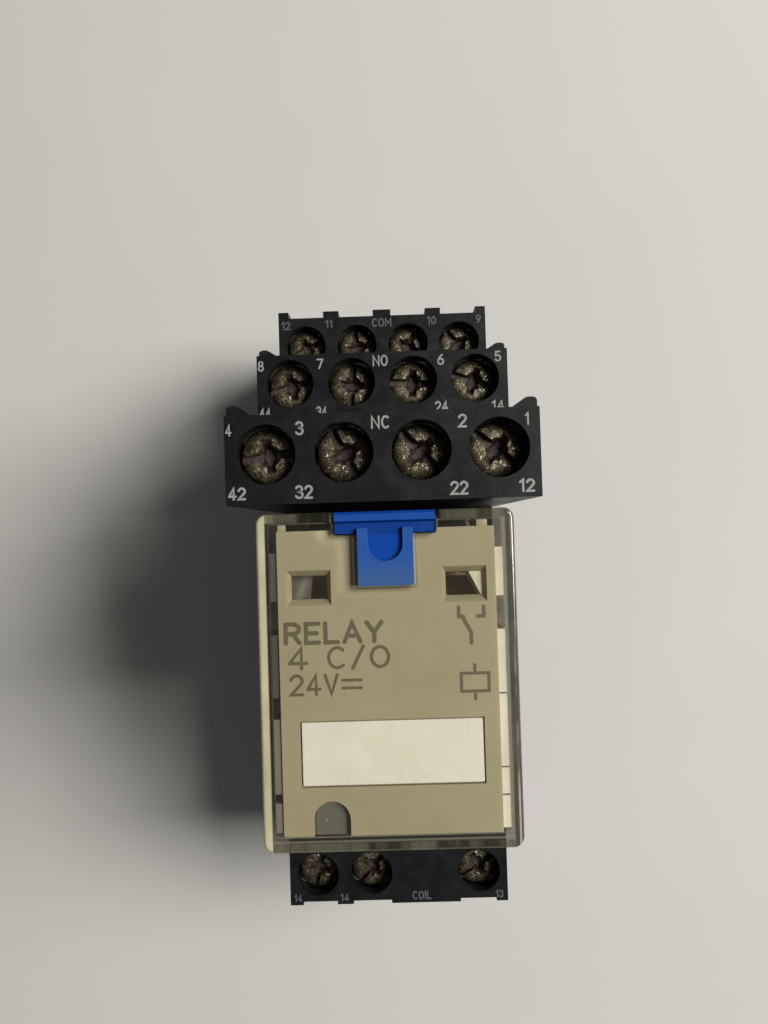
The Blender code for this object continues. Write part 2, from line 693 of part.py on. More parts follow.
def build_led_board(relay):
    board = box("led_board", (-7.6, 7.6), (-13.0, -9.12), (56.62, 57.32))
    resistor = box("resistor", (1.0, 4.2), (-12.4, -10.8), (57.1, 58.4))
    diode = box("diode", (-1.9, 0.0), (-12.2, -11.0), (57.1, 58.2))
    lamp = lathe("lamp", [
        (0, 61.1), (0.75, 61.0), (1.2, 60.65), (1.35, 60.1), (1.35, 57.9), (1.42, 57.9),
        (1.42, 57.1), (0, 57.1),
    ], 16)
    lamp.location = (LED_X * MM, LED_Y * MM, 0)
    join(board, [resistor, diode, lamp], "components")
    relay_part(board, BOARD, relay)


# ================================================================ test lever and button
def build_test_lever(relay):
    """T bar with its ridge round the axle, the stem with its finger scoop, and two cams."""
    axis = empty("test_lever_axis", LEVER_AXLE, relay)
    lever = extrude_x("test_lever", [
        (12.15, 61.8), (12.27, 61.28), (12.55, 60.92), (13.05, 60.8), (13.55, 60.92),
        (13.85, 61.28), (13.98, 61.7), (13.98, 62.55), (13.75, 62.82), (13.2, 62.82),
        (13.05, 62.4), (12.15, 62.4),
    ], -4.2, 4.2)
    adds = [box("stem", (-2.33, 2.33), (7.8, 12.6), (61.98, 62.82))]
    for name, side in (("cam_left", -1), ("cam_right", 1)):
        adds.append(box(name, (side * 1.4, side * 2.2), (12.55, 13.1), (59.1, 61.3)))
    join(lever, adds, "stem")
    half_x = 1.45
    scoop = [(half_x, 13.0), (-half_x, 13.0), *arc(0, 11.2, half_x, 1.35, range(180, 361, 20))]
    cut(lever, [extrude_z("scoop", scoop, 62.4, 64.0)], "scoop")
    part(lever, BLUE, LEVER_AXLE, axis)


def build_test_button(relay):
    """Button under the lever's stem, held under the plate by its shoulder."""
    axis = empty("test_button_axis", BUTTON_PLACE, relay)
    button = box("test_button", (-1.2, 1.2), (8.3, 11.0), (59.9, 61.7))
    join(button, [
        box("shoulder", (-1.2, 1.2), (7.1, 9.0), (59.7, 60.6)),
        box("stalk", (-0.8, 0.8), (9.0, 10.6), (58.4, 60.2)),
    ], "shoulder")
    part(button, YELLOW, BUTTON_PLACE, axis)


# ================================================================ assembly
def build_socket():
    build_socket_body()
    build_socket_base()
    build_din_latch()
    build_terminals()


def build_relay():
    relay = empty("relay_unit", (0, 0, Z_RELAY))
    for build in (
        build_relay_cover, build_relay_base, build_terminal_strips,
        build_yoke, build_iron_core, build_coil_bobbin, build_coil_winding,
        build_indicator_plate, build_label, build_led_board,
        build_test_lever, build_test_button,
    ):
        build(relay)
    # armature and carrier swing together on the knife edge
    swing = empty("armature_axis", HINGE, relay)
    build_armature(swing)
    build_contact_carrier(swing)


def centre_footprint():
    """Moves the middle of the footprint, from the latch's end to the ribs, to y = 0."""
    middle = (LATCH_END_Y + Y_COM + RIB_OUT) / 2
    for ob in parts.objects:
        if ob.parent is None:
            ob.location.y -= middle * MM
    bpy.context.view_layer.update()


build_socket()
build_relay()
centre_footprint()
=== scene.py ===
"""Plug-in control relay in its screw socket: looks, fine pieces, light and camera.

The socket's contact decks step down towards +Y and its coil deck lies at -Y; Z points up.
Pieces are laid out in mm from the relay's centre line by point(), which gives metres in the
row's frame. Material textures use object coordinates in metres.
"""

import json
import math

import bmesh
import bpy
from mathutils import Matrix, Vector

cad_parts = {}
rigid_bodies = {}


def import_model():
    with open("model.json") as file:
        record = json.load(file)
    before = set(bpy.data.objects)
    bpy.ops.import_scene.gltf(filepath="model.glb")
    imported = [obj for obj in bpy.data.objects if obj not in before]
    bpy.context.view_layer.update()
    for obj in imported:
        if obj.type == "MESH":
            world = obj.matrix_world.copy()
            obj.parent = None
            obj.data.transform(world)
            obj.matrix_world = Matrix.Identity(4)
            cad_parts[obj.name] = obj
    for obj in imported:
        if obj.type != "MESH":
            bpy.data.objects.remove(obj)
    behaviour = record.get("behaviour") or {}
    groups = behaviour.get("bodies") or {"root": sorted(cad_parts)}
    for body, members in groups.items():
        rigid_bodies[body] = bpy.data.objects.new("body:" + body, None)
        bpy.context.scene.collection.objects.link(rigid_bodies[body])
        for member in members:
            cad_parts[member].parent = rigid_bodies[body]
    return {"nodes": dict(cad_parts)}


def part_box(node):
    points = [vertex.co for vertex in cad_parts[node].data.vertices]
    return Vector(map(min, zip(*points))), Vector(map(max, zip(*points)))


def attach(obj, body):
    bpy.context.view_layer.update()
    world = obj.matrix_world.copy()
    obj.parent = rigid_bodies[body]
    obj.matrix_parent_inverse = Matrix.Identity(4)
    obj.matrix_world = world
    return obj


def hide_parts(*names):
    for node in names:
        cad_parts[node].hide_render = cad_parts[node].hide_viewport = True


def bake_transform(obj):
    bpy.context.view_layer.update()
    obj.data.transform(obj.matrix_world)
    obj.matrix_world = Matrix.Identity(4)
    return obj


for old in list(bpy.data.objects):
    bpy.data.objects.remove(old, do_unlink=True)

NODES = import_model()["nodes"]
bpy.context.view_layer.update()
SCENE = bpy.context.scene
MATS = {}

# ---------------------------------------------------------------- driving sizes, mm
MM = 0.001
CENTRE_Y = -1.75                 # the relay's centre line in the row's frame
PITCH = 6.667                    # between terminal columns
COLUMNS = [k * PITCH for k in (-1.5, -0.5, 0.5, 1.5)]
BLADE_X = (-6.6, -2.2, 2.2, 6.6)
NC_DECK, NO_DECK, COM_DECK, COIL_DECK = 61.0, 44.0, 26.6, 30.0      # deck heights
PLATE_TOP = 61.7                 # indicator plate
COVER_TOP = 62.8
COVER_HALF_X, COVER_HALF_Y = 9.95, 13.2      # the cover's flat top ends here, over its walls

for node in NODES.values():
    node.data.materials.clear()


def point(x, y, z):
    """A place in mm from the relay's centre line, as metres in the row's frame."""
    return Vector((x * MM, (y + CENTRE_Y) * MM, z * MM))


# ---------------------------------------------------------------- material builder
class Mat:
    """Shader nodes round one Principled BSDF, with object coordinates in metres."""

    def __init__(self, name):
        self.material = bpy.data.materials.new(name)
        self.material.use_nodes = True
        self.tree = self.material.node_tree
        self.tree.nodes.clear()
        self.output = self.node("OutputMaterial")
        self.principled = self.node("BsdfPrincipled")
        self.put(self.output.inputs[0], self.principled.outputs[0])
        self.coords = self.node("TexCoord").outputs["Object"]
        self.geometry = None
        MATS[name] = self.material

    def node(self, kind, inputs=None, **settings):
        made = self.tree.nodes.new("ShaderNode" + kind)
        for key, value in settings.items():
            setattr(made, key, value)
        for socket, value in (inputs or {}).items():
            self.put(made.inputs[socket], value)
        return made

    def put(self, socket, value):
        """Links a socket, or sets a plain value; colours are given without alpha."""
        if isinstance(value, bpy.types.NodeSocket):
            self.tree.links.new(value, socket)
        elif isinstance(value, tuple) and socket.type == "RGBA":
            socket.default_value = (*value, 1.0)
        else:
            socket.default_value = value

    def set(self, **inputs):
        for key, value in inputs.items():
            self.put(self.principled.inputs[key.replace("_", " ")], value)

    def scaled(self, x, y, z):
        return self.node("Mapping", {"Scale": (x, y, z), "Vector": self.coords}).outputs[0]

    def noise(self, scale, detail=3.0, roughness=0.5, distortion=0.0, vector=None):
        return self.node("TexNoise", {
            "Scale": scale, "Detail": detail, "Roughness": roughness,
            "Distortion": distortion, "Vector": vector or self.coords}).outputs["Fac"]

    def cells(self, scale):
        inputs = {"Scale": scale, "Vector": self.coords}
        return self.node("TexVoronoi", inputs, feature="F1").outputs["Distance"]

    def wave(self, scale, axis):
        inputs = {"Scale": scale, "Vector": self.coords}
        return self.node("TexWave", inputs, bands_direction=axis).outputs["Fac"]

    def fade(self, value, start, end, low=0.0, high=1.0):
        """Goes from low at start to high at end, and holds beyond both."""
        inputs = {0: value, 1: start, 2: end, 3: low, 4: high}
        return self.node("MapRange", inputs, clamp=True).outputs[0]

    def band(self, value, rise, fall):
        """One between two fades, each given as (start, end)."""
        return self.times(self.fade(value, *rise), self.fade(value, *fall))

    def patches(self, start, end, low=0.0, high=1.0, **noise):
        """Noise with its levels start to end stretched to low to high."""
        return self.fade(self.noise(**noise), start, end, low, high)

    def math(self, operation, a, b=0.0):
        return self.node("Math", {0: a, 1: b}, operation=operation).outputs[0]

    def times(self, a, b):
        return self.math("MULTIPLY", a, b)

    def mix(self, amount, a, b):
        return self.node("Mix", {0: amount, 6: a, 7: b}, data_type="RGBA").outputs[2]

    def axis(self, which, vector=None):
        return self.node("SeparateXYZ", {0: vector or self.coords}).outputs[which]

    def facing_up(self):
        """The surface normal's Z."""
        if self.geometry is None:
            self.geometry = self.node("NewGeometry")
        return self.axis("Z", self.geometry.outputs["Normal"])

    def relay_y(self):
        """Y from the relay's centre line, in metres."""
        return self.math("SUBTRACT", self.axis("Y"), CENTRE_Y * MM)

    def bump(self, height, strength, depth, over=None):
        """Relief of a depth in mm, laid over another bump if given."""
        inputs = {"Strength": strength, "Distance": depth * MM, "Height": height}
        if over is not None:
            inputs["Normal"] = over
        return self.node("Bump", inputs).outputs[0]


# ---------------------------------------------------------------- materials
def moulded(name, dark, light, rough, grain=9000, dust=0.0, specular=0.4):
    """Moulded plastic: satin grain, slow tone drift, smears, and dust where it faces up."""
    mat = Mat(name)
    color = mat.mix(mat.patches(0.35, 0.68, scale=90, detail=4, roughness=0.6), dark, light)
    smear = mat.patches(0.45, 0.75, scale=260, detail=5, roughness=0.7, distortion=1.2)
    if dust:
        up = mat.fade(mat.facing_up(), 0.55, 0.95)
        film = mat.patches(0.42, 0.8, high=dust, scale=420, detail=6, roughness=0.75)
        color = mat.mix(mat.times(up, film), color, (0.34, 0.32, 0.28))
        specks = mat.times(mat.fade(mat.cells(scale=1500), 0.075, 0.045),
                           mat.patches(0.58, 0.66, scale=210, detail=2))
        color = mat.mix(mat.times(specks, 0.55), color, (0.55, 0.53, 0.48))
    fine = mat.bump(mat.noise(scale=grain, detail=2), strength=0.22, depth=0.02)
    mat.set(Base_Color=color, Specular_IOR_Level=specular,
            Roughness=mat.fade(smear, 0, 1, rough - 0.07, rough + 0.16),
            Normal=mat.bump(mat.noise(scale=600), strength=0.10, depth=0.03, over=fine),
            Coat_Weight=0.0, Coat_Roughness=0.35)


def lever_blue():
    """Raised faces get a painted sheen, lighter, most at low Y; the bar's sunk strip at high Y
    gets painted shade.
    """
    mat = Mat("lever_blue")
    y, z = mat.axis("Y"), mat.axis("Z")
    up = mat.fade(mat.facing_up(), 0.5, 0.95)
    raised = mat.times(up, mat.fade(z, 0.0625, 0.06275))
    end = mat.fade(y, 0.0083, 0.0068)
    drift = mat.patches(0.35, 0.68, scale=260, detail=5, roughness=0.65)
    color = mat.mix(drift, (0.0004, 0.028, 0.185), (0.0008, 0.033, 0.21))
    # painted sheen: raised faces lighter, more on the stem than on the bar's ridge
    sheen_weight = mat.fade(mat.fade(y, 0.0108, 0.0112), 0, 1, low=0.8, high=0.35)
    color = mat.mix(mat.times(raised, sheen_weight), color, (0.014, 0.060, 0.205))
    # painted sheen, greyer, at the stem's low-Y end
    color = mat.mix(mat.times(raised, mat.times(end, 0.75)), color, (0.030, 0.068, 0.165))
    # painted shade on the bar's sunk strip
    sunk_shade = mat.times(mat.fade(z, 0.06255, 0.0625), mat.fade(y, 0.0102, 0.01035))
    color = mat.mix(mat.times(sunk_shade, 0.75), color, (0.0008, 0.021, 0.125))
    waves = mat.bump(mat.noise(scale=700), strength=0.08, depth=0.03)
    mat.set(Base_Color=color, Specular_IOR_Level=0.10,
            Roughness=mat.patches(0.4, 0.75, 0.40, 0.58, scale=420, detail=5, roughness=0.7),
            Normal=mat.bump(mat.noise(scale=9000, detail=2), 0.2, depth=0.02, over=waves))


def label_card():
    """Write-on card: fibre, handling grime, smudges and small spots."""
    mat = Mat("label_card")
    color = mat.mix(mat.patches(0.35, 0.7, scale=300, detail=5, roughness=0.6),
                    (0.69, 0.662, 0.56), (0.74, 0.722, 0.65))
    grime = mat.patches(0.60, 0.80, scale=520, detail=6, roughness=0.72, distortion=1.5)
    color = mat.mix(mat.times(grime, 0.45), color, (0.50, 0.42, 0.28))
    smudge = mat.patches(0.52, 0.70, scale=230, detail=5, roughness=0.6, distortion=1.0)
    color = mat.mix(mat.times(smudge, 0.20), color, (0.62, 0.58, 0.38))
    spots = mat.times(mat.fade(mat.cells(scale=900), 0.06, 0.02),
                      mat.patches(0.55, 0.62, high=0.45, scale=170, detail=2))
    color = mat.mix(spots, color, (0.30, 0.26, 0.18))
    fibre = mat.noise(scale=4200, detail=4, roughness=0.6)
    mat.set(Base_Color=color, Roughness=0.75,
            Normal=mat.bump(fibre, strength=0.25, depth=0.02))


METAL_GRAIN = 1400.0                   # scale of the tarnish patches
METAL_GRIME = (0.06, 0.035, 0.012)


def metal(name, bright, dull, rough, grime, brush=None):
    """Plated metal with tarnish patches and grime; brush stretches the relief."""
    mat = Mat(name)
    patch = mat.patches(0.38, 0.64, scale=METAL_GRAIN, detail=6, roughness=0.7, distortion=0.8)
    dirt = mat.patches(0.50, 0.70, high=grime, scale=METAL_GRAIN * 0.62, detail=7,
                       roughness=0.78, distortion=2.0)
    if brush:
        relief = mat.noise(scale=900, roughness=0.6, vector=mat.scaled(*brush))
    else:
        relief = mat.noise(scale=METAL_GRAIN * 2.4, detail=5, roughness=0.65)
    mat.set(Base_Color=mat.mix(dirt, mat.mix(patch, bright, dull), METAL_GRIME),
            Metallic=mat.fade(dirt, 0, 1, low=1.0, high=0.35),
            Roughness=mat.fade(patch, 0, 1, rough, rough + 0.22),
            Normal=mat.bump(relief, strength=0.35, depth=0.035))


def screw_zinc():
    """Dull pitted yellow zinc, worn bright in flecks, with dark grime down in the recess."""
    mat = Mat("screw_zinc")
    patch = mat.patches(0.38, 0.62, scale=1150, detail=7, roughness=0.75, distortion=1.2)
    color = mat.mix(patch, (0.125, 0.104, 0.060), (0.034, 0.025, 0.011))
    worn = mat.patches(0.56, 0.63, scale=2300, detail=5, roughness=0.7, distortion=0.6)
    color = mat.mix(worn, color, (0.46, 0.43, 0.34))
    # heights run down from the head's top; the noise makes the grime's border ragged
    ragged = mat.patches(0.3, 0.7, -0.00022, 0.00022, scale=1500, detail=4, roughness=0.6)
    low = mat.fade(mat.math("ADD", mat.axis("Z"), ragged), -0.00010, -0.00042)
    fleck = mat.patches(0.47, 0.60, scale=1700, detail=8, roughness=0.8, distortion=2.2)
    dirt = mat.math("MAXIMUM", low, mat.times(fleck, 0.78))
    grime = mat.mix(mat.patches(0.4, 0.66, scale=2600, detail=4, roughness=0.6),
                    (0.003, 0.0015, 0.0006), (0.036, 0.016, 0.004))
    matt = mat.math("SUBTRACT", dirt, mat.times(worn, 0.5))
    pits = mat.bump(mat.noise(scale=1300, detail=6, roughness=0.7), strength=1.0, depth=0.16)
    fine = mat.noise(scale=4200, detail=4, roughness=0.6)
    mat.set(Base_Color=mat.mix(dirt, color, grime),
            Metallic=mat.fade(dirt, 0, 1, low=0.9, high=0.0),
            Roughness=mat.fade(matt, -0.5, 1, low=0.16, high=0.55),
            Normal=mat.bump(fine, strength=0.6, depth=0.04, over=pits))


def coil_copper():
    """Varnished copper winding, one fine turn beside the next."""
    mat = Mat("coil_copper")
    color = mat.mix(mat.patches(0.4, 0.65, scale=700, detail=4),
                    (0.50, 0.16, 0.04), (0.36, 0.10, 0.025))
    mat.set(Base_Color=color, Metallic=0.75, Roughness=0.28, Coat_Weight=0.5,
            Normal=mat.bump(mat.wave(scale=1900, axis="Z"), strength=0.6, depth=0.05))


def coil_tape():
    """Amber polyester film, slightly wrinkled."""
    mat = Mat("coil_tape")
    color = mat.mix(mat.patches(0.35, 0.7, scale=240, detail=4),
                    (0.50, 0.30, 0.05), (0.62, 0.40, 0.09))
    wrinkles = mat.noise(scale=500, detail=4, roughness=0.6, vector=mat.scaled(1, 1, 0.25))
    mat.set(Base_Color=color, Roughness=0.25, Coat_Weight=0.6, Coat_Roughness=0.1,
            Normal=mat.bump(wrinkles, strength=0.35, depth=0.08))


def circuit_board():
    """Glass-epoxy board."""
    mat = Mat("circuit_board")
    weave = mat.times(mat.wave(scale=900, axis="X"), mat.wave(scale=900, axis="Y"))
    mat.set(Base_Color=mat.mix(weave, (0.010, 0.085, 0.035), (0.018, 0.125, 0.055)),
            Roughness=0.3, Coat_Weight=0.4,
            Normal=mat.bump(weave, strength=0.15, depth=0.02))


def ink(name, color, wear, worn=(0.02, 0.02, 0.02)):
    """Printed marks, a little patchy."""
    mat = Mat(name)
    gaps = mat.patches(0.56, 0.74, high=wear, scale=2600, detail=5, roughness=0.7)
    mat.set(Base_Color=mat.mix(gaps, color, worn), Roughness=0.6,
            Normal=mat.bump(mat.noise(scale=5000), strength=0.2, depth=0.01))


def view_flags():
    """A grey-brown flag with a pale streak at -X, a beige one at +X with a painted highlight
    along a slant.
    """
    mat = Mat("view_flags")
    x, y = mat.axis("X"), mat.relay_y()

    def across(slope):
        """X across a line that leans by slope, true to X at y = 7.7 mm."""
        return mat.math("ADD", x, mat.times(mat.math("SUBTRACT", y, 0.0077), slope))

    # painted highlight: a bright line along the beige flag's slanted edge
    line = mat.band(across(0.50), rise=(0.00722, 0.00735), fall=(0.00768, 0.00755))
    beige = mat.mix(line, (0.74, 0.68, 0.46), (0.92, 0.90, 0.78))
    streak = mat.band(across(-0.35), rise=(-0.00775, -0.0073), fall=(-0.0066, -0.0072))
    brown = mat.mix(streak, (0.088, 0.078, 0.054), (0.175, 0.163, 0.130))
    color = mat.mix(mat.fade(x, -0.0001, 0.0001), brown, beige)
    grime = mat.patches(0.5, 0.75, high=0.4, scale=900, detail=5, roughness=0.7)
    mat.set(Base_Color=mat.mix(grime, color, (0.12, 0.10, 0.07)), Roughness=0.55,
            Normal=mat.bump(mat.noise(scale=3500), strength=0.15, depth=0.02))


def cover_walls(mat, clear, solid, tint, haze_color):
    """Darkens and clouds the cover's rim, where the eye looks down a wall's whole height, and
    paints highlights along its lines, shade at +X and light at -X.

    Colours both shaders and returns how solid the shell is."""
    abs_x = mat.math("ABSOLUTE", mat.axis("X"))
    y = mat.relay_y()
    abs_y = mat.math("ABSOLUTE", y)
    up = mat.fade(mat.facing_up(), 0.35, 0.7)

    def beyond(distance, half):
        edge = mat.fade(distance, (half - 0.06) * MM, (half + 0.06) * MM)
        return mat.times(edge, up)

    side, ends = beyond(abs_x, COVER_HALF_X), beyond(abs_y, COVER_HALF_Y)
    edge = mat.math("MAXIMUM", side, ends)

    # painted highlights: a broken streak along each side, a lip and a brim at the -Y end
    streak = mat.band(abs_x, rise=((COVER_HALF_X + 0.36) * MM, (COVER_HALF_X + 0.42) * MM),
                      fall=((COVER_HALF_X + 0.58) * MM, (COVER_HALF_X + 0.52) * MM))
    streak = mat.times(streak, mat.patches(0.40, 0.60, scale=110, roughness=0.6,
                                           vector=mat.scaled(0.2, 1, 0.2)))
    lip_highlight = mat.band(y, rise=(-0.01292, -0.01299), fall=(-0.01318, -0.01310))
    lip_highlight = mat.times(lip_highlight, mat.fade(abs_x, 0.0100, 0.0098))
    brim_highlight = mat.times(mat.fade(y, -0.01374, -0.01380), mat.fade(abs_x, 0.0101, 0.0098))
    end_highlights = mat.math("MAXIMUM", mat.times(lip_highlight, 0.55), mat.times(brim_highlight, 0.30))
    pale = mat.math("MAXIMUM", mat.times(mat.times(streak, side), 0.8),
                    mat.times(up, end_highlights))

    # painted shade and light: the rim is darkest at +X and lightest at -X
    cloud = mat.patches(0.35, 0.7, scale=190, detail=4, roughness=0.6)
    rim = mat.mix(cloud, (0.082, 0.078, 0.050), (0.140, 0.134, 0.098))
    rim = mat.mix(mat.fade(mat.axis("X"), 0.0090, 0.0098), rim,
                  mat.mix(cloud, (0.032, 0.030, 0.022), (0.062, 0.060, 0.047)))
    rim = mat.mix(mat.fade(mat.axis("X"), -0.0090, -0.0098), rim,
                  mat.mix(cloud, (0.300, 0.282, 0.165), (0.440, 0.415, 0.265)))
    # the painted highlights lighten the rim's colour
    rim = mat.mix(pale, rim, (0.33, 0.315, 0.26))
    mat.set(Base_Color=mat.mix(edge, haze_color, rim))

    # bars where more or less of the rim's colour shows down the end walls
    bars = mat.patches(0.44, 0.56, low=0.05, high=0.44, scale=330, roughness=0.6,
                       vector=mat.scaled(1, 0.05, 0.05))
    veil = mat.math("MAXIMUM", mat.times(side, 0.84), mat.times(ends, bars))
    flank = mat.fade(mat.math("ABSOLUTE", mat.facing_up()), 0.30, 0.05)
    top_tint = mat.mix(edge, tint, (0.72, 0.70, 0.60))
    mat.put(clear.inputs["Color"], mat.mix(flank, top_tint, (0.83, 0.815, 0.765)))
    solid = mat.math("ADD", solid, mat.times(flank, 0.015))
    return mat.math("ADD", solid, mat.math("MAXIMUM", veil, mat.times(pale, 0.8)))


def clear_shell(name, tint, haze_color, haze, rough, walls=False):
    """Smoked polycarbonate: tinted clear, with a haze, scuffs and a Fresnel sheen."""
    mat = Mat(name)
    clear = mat.node("BsdfTransparent")
    scuff = mat.patches(0.52, 0.80, high=0.05, scale=380, detail=7, roughness=0.75,
                        distortion=1.4)
    sheen = mat.times(mat.node("Fresnel", {"IOR": 1.45}).outputs[0], 0.6)
    solid = mat.math("ADD", mat.math("ADD", haze, scuff), sheen)
    mat.set(Base_Color=haze_color, IOR=1.58,
            Roughness=mat.patches(0.4, 0.75, rough, rough + 0.16, scale=300, detail=6,
                                  roughness=0.7),
            Normal=mat.bump(mat.noise(scale=900), strength=0.03, depth=0.02))
    if walls:
        solid = cover_walls(mat, clear, solid, tint, haze_color)
    else:
        mat.put(clear.inputs["Color"], tint)
    blend = mat.node("MixShader", {0: mat.math("MINIMUM", solid, 1.0), 1: clear.outputs[0],
                                   2: mat.principled.outputs[0]})
    mat.put(mat.output.inputs[0], blend.outputs[0])


moulded("socket_black", (0.0024, 0.0029, 0.0031), (0.0044, 0.0049, 0.0051), rough=0.44,
        grain=8000, dust=0.014, specular=0.17)
moulded("relay_base_black", (0.008, 0.008, 0.008), (0.014, 0.0135, 0.013), rough=0.5,
        grain=8000, specular=0.3)
moulded("latch_black", (0.008, 0.0083, 0.009), (0.013, 0.0135, 0.0145), rough=0.4,
        grain=8000, dust=0.03, specular=0.3)
moulded("beige_plate", (0.312, 0.271, 0.167), (0.347, 0.306, 0.194), rough=0.6, specular=0.3)
# the plate's legs are one moulding: a painted lit copy at +X, painted shade copies at -X
moulded("plate_leg_lit", (0.43, 0.40, 0.315), (0.56, 0.52, 0.42), rough=0.4)
moulded("plate_leg_shaded", (0.145, 0.134, 0.108), (0.195, 0.183, 0.15), rough=0.45)
moulded("plate_leg_deep_shade", (0.06, 0.055, 0.04), (0.09, 0.082, 0.062), rough=0.5)
moulded("window_web", (0.56, 0.53, 0.39), (0.64, 0.60, 0.45), rough=0.55, specular=0.3)
moulded("button_yellow", (0.72, 0.48, 0.03), (0.80, 0.56, 0.06), rough=0.42)
moulded("bobbin_nylon", (0.62, 0.60, 0.52), (0.72, 0.70, 0.62), rough=0.45)
moulded("carrier_cream", (0.50, 0.43, 0.30), (0.60, 0.52, 0.38), rough=0.5)
lever_blue()
label_card()
metal("clamp_zinc", (0.42, 0.38, 0.28), (0.24, 0.21, 0.14), rough=0.38, grime=0.5)
metal("nickel_iron", (0.66, 0.65, 0.62), (0.48, 0.47, 0.44), rough=0.26, grime=0.12,
      brush=(1, 1, 14))
metal("contact_brass", (0.80, 0.58, 0.26), (0.58, 0.42, 0.18), rough=0.25, grime=0.2)
metal("spring_bronze", (0.78, 0.50, 0.26), (0.60, 0.38, 0.20), rough=0.24, grime=0.1)
metal("contact_silver", (0.86, 0.85, 0.82), (0.66, 0.65, 0.62), rough=0.22, grime=0.12)
metal("tinned_wire", (0.80, 0.79, 0.76), (0.60, 0.59, 0.56), rough=0.3, grime=0.12)
screw_zinc()
coil_copper()
coil_tape()
circuit_board()
ink("mark_white", (0.165, 0.17, 0.16), wear=0.75)
ink("mark_grey", (0.044, 0.048, 0.048), wear=0.7)
ink("mark_brown", (0.105, 0.088, 0.046), wear=0.35, worn=(0.30, 0.26, 0.15))
view_flags()
clear_shell("smoked_cover", tint=(0.982, 0.979, 0.962), haze_color=(0.15, 0.145, 0.11),
            haze=0.012, rough=0.06, walls=True)
clear_shell("lamp_lens", tint=(0.62, 0.62, 0.60), haze_color=(0.150, 0.145, 0.112),
            haze=0.80, rough=0.22)


# ---------------------------------------------------------------- mesh helpers
def new_object(name, data):
    made = bpy.data.objects.new(name, data)
    SCENE.collection.objects.link(made)
    return made


def mesh_object(name, mesh, recalc=True):
    """Turns a bmesh in metres into a linked object."""
    if recalc:
        bmesh.ops.recalc_face_normals(mesh, faces=mesh.faces)
    data = bpy.data.meshes.new(name)
    mesh.to_mesh(data)
    mesh.free()
    return new_object(name, data)


def smooth_under(data, degrees):
    data.shade_smooth()
    data.set_sharp_from_angle(angle=math.radians(degrees))


def soften(piece, width, segments=2, angle=40.0):
    """Cleans up the faces and rounds the hard edges, with a width in mm."""
    weld = piece.modifiers.new("weld", "WELD")
    weld.merge_threshold = 2e-6
    planar = piece.modifiers.new("planar", "DECIMATE")
    planar.decimate_type = "DISSOLVE"
    planar.angle_limit = math.radians(1.0)
    planar.delimit = {"MATERIAL", "NORMAL"}
    bevel = piece.modifiers.new("round", "BEVEL")
    bevel.width = width * MM
    bevel.segments = segments
    bevel.limit_method = "ANGLE"
    bevel.angle_limit = math.radians(angle)
    bevel.use_clamp_overlap = True
    bevel.harden_normals = False
    normals = piece.modifiers.new("normals", "WEIGHTED_NORMAL")
    normals.keep_sharp = False
    normals.weight = 60


def add(name, mesh, material, body, smooth=35.0, bevel=0.0):
    """Makes a piece from a bmesh in the row's frame, and rides it on a body."""
    piece = mesh_object(name, mesh)
    piece.data.materials.append(MATS[material])
    if smooth:
        smooth_under(piece.data, smooth)
    if bevel:
        soften(piece, bevel)
    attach(piece, body)
    return piece


def cube(mesh, low, high):
    """A box between two corners in metres."""
    verts = bmesh.ops.create_cube(mesh, size=1.0)["verts"]
    bmesh.ops.scale(mesh, vec=(high - low), verts=verts)
    bmesh.ops.translate(mesh, vec=(low + high) / 2, verts=verts)
    return verts


def level(mesh, outline, z):
    """Vertices along an outline in mm at one height."""
    return [mesh.verts.new(point(x, y, z)) for x, y in outline]


def bridge(mesh, first, second):
    """Faces between two rings of as many vertices."""
    for k in range(len(first)):
        j = (k + 1) % len(first)
        mesh.faces.new((first[k], first[j], second[j], second[k]))


def turned(mesh, profile, place, sides, axis="Z", closed=False):
    """A lathe shape about Z or X, from (radius, height) points in mm.

    The profile runs up the outer side. closed joins its last ring to its first."""
    rings = []
    for radius, z in profile:
        if radius < 1e-6:
            rings.append([mesh.verts.new((0, 0, z * MM))])
            continue
        angles = [2 * math.pi * k / sides for k in range(sides)]
        rings.append([mesh.verts.new((radius * MM * math.cos(a), radius * MM * math.sin(a),
                                      z * MM)) for a in angles])
    for lower, upper in zip(rings, rings[1:] + (rings[:1] if closed else [])):
        if len(lower) > 1 and len(upper) > 1:
            bridge(mesh, lower, upper)
            continue
        for k in range(sides):
            j = (k + 1) % sides
            if len(lower) == 1:
                mesh.faces.new((lower[0], upper[j], upper[k]))
            else:
                mesh.faces.new((lower[k], lower[j], upper[0]))
    verts = [vert for ring in rings for vert in ring]
    if axis == "X":
        bmesh.ops.rotate(mesh, verts=verts, cent=(0, 0, 0),
                         matrix=Matrix.Rotation(math.radians(90), 3, "Y"))
    bmesh.ops.translate(mesh, vec=place, verts=verts)


def tube(name, points, radius, material):
    """A wire along control points in mm, as a smooth round mesh."""
    curve = bpy.data.curves.new(name, "CURVE")
    curve.dimensions = "3D"
    curve.bevel_depth = radius * MM
    curve.bevel_resolution = 2
    curve.use_fill_caps = True
    curve.resolution_u = 8
    spline = curve.splines.new("NURBS")
    spline.points.add(len(points) - 1)
    for control, place in zip(spline.points, points):
        control.co = (*point(*place), 1.0)
    spline.order_u = 4
    spline.use_endpoint_u = True
    source = new_object(name + "_c", curve)
    bpy.context.view_layer.update()
    evaluated = source.evaluated_get(bpy.context.evaluated_depsgraph_get())
    data = bpy.data.meshes.new_from_object(evaluated)
    bpy.data.objects.remove(source, do_unlink=True)
    mesh = bmesh.new()
    mesh.from_mesh(data)
    bmesh.ops.remove_doubles(mesh, verts=mesh.verts, dist=1e-6)
    mesh.to_mesh(data)
    mesh.free()
    data.name = name
    data.materials.clear()
    data.materials.append(MATS[material])
    data.shade_smooth()
    return new_object(name, data)


def relay_wire(name, points, radius, material):
    wire = tube(name, points, radius, material)
    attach(wire, "relay")


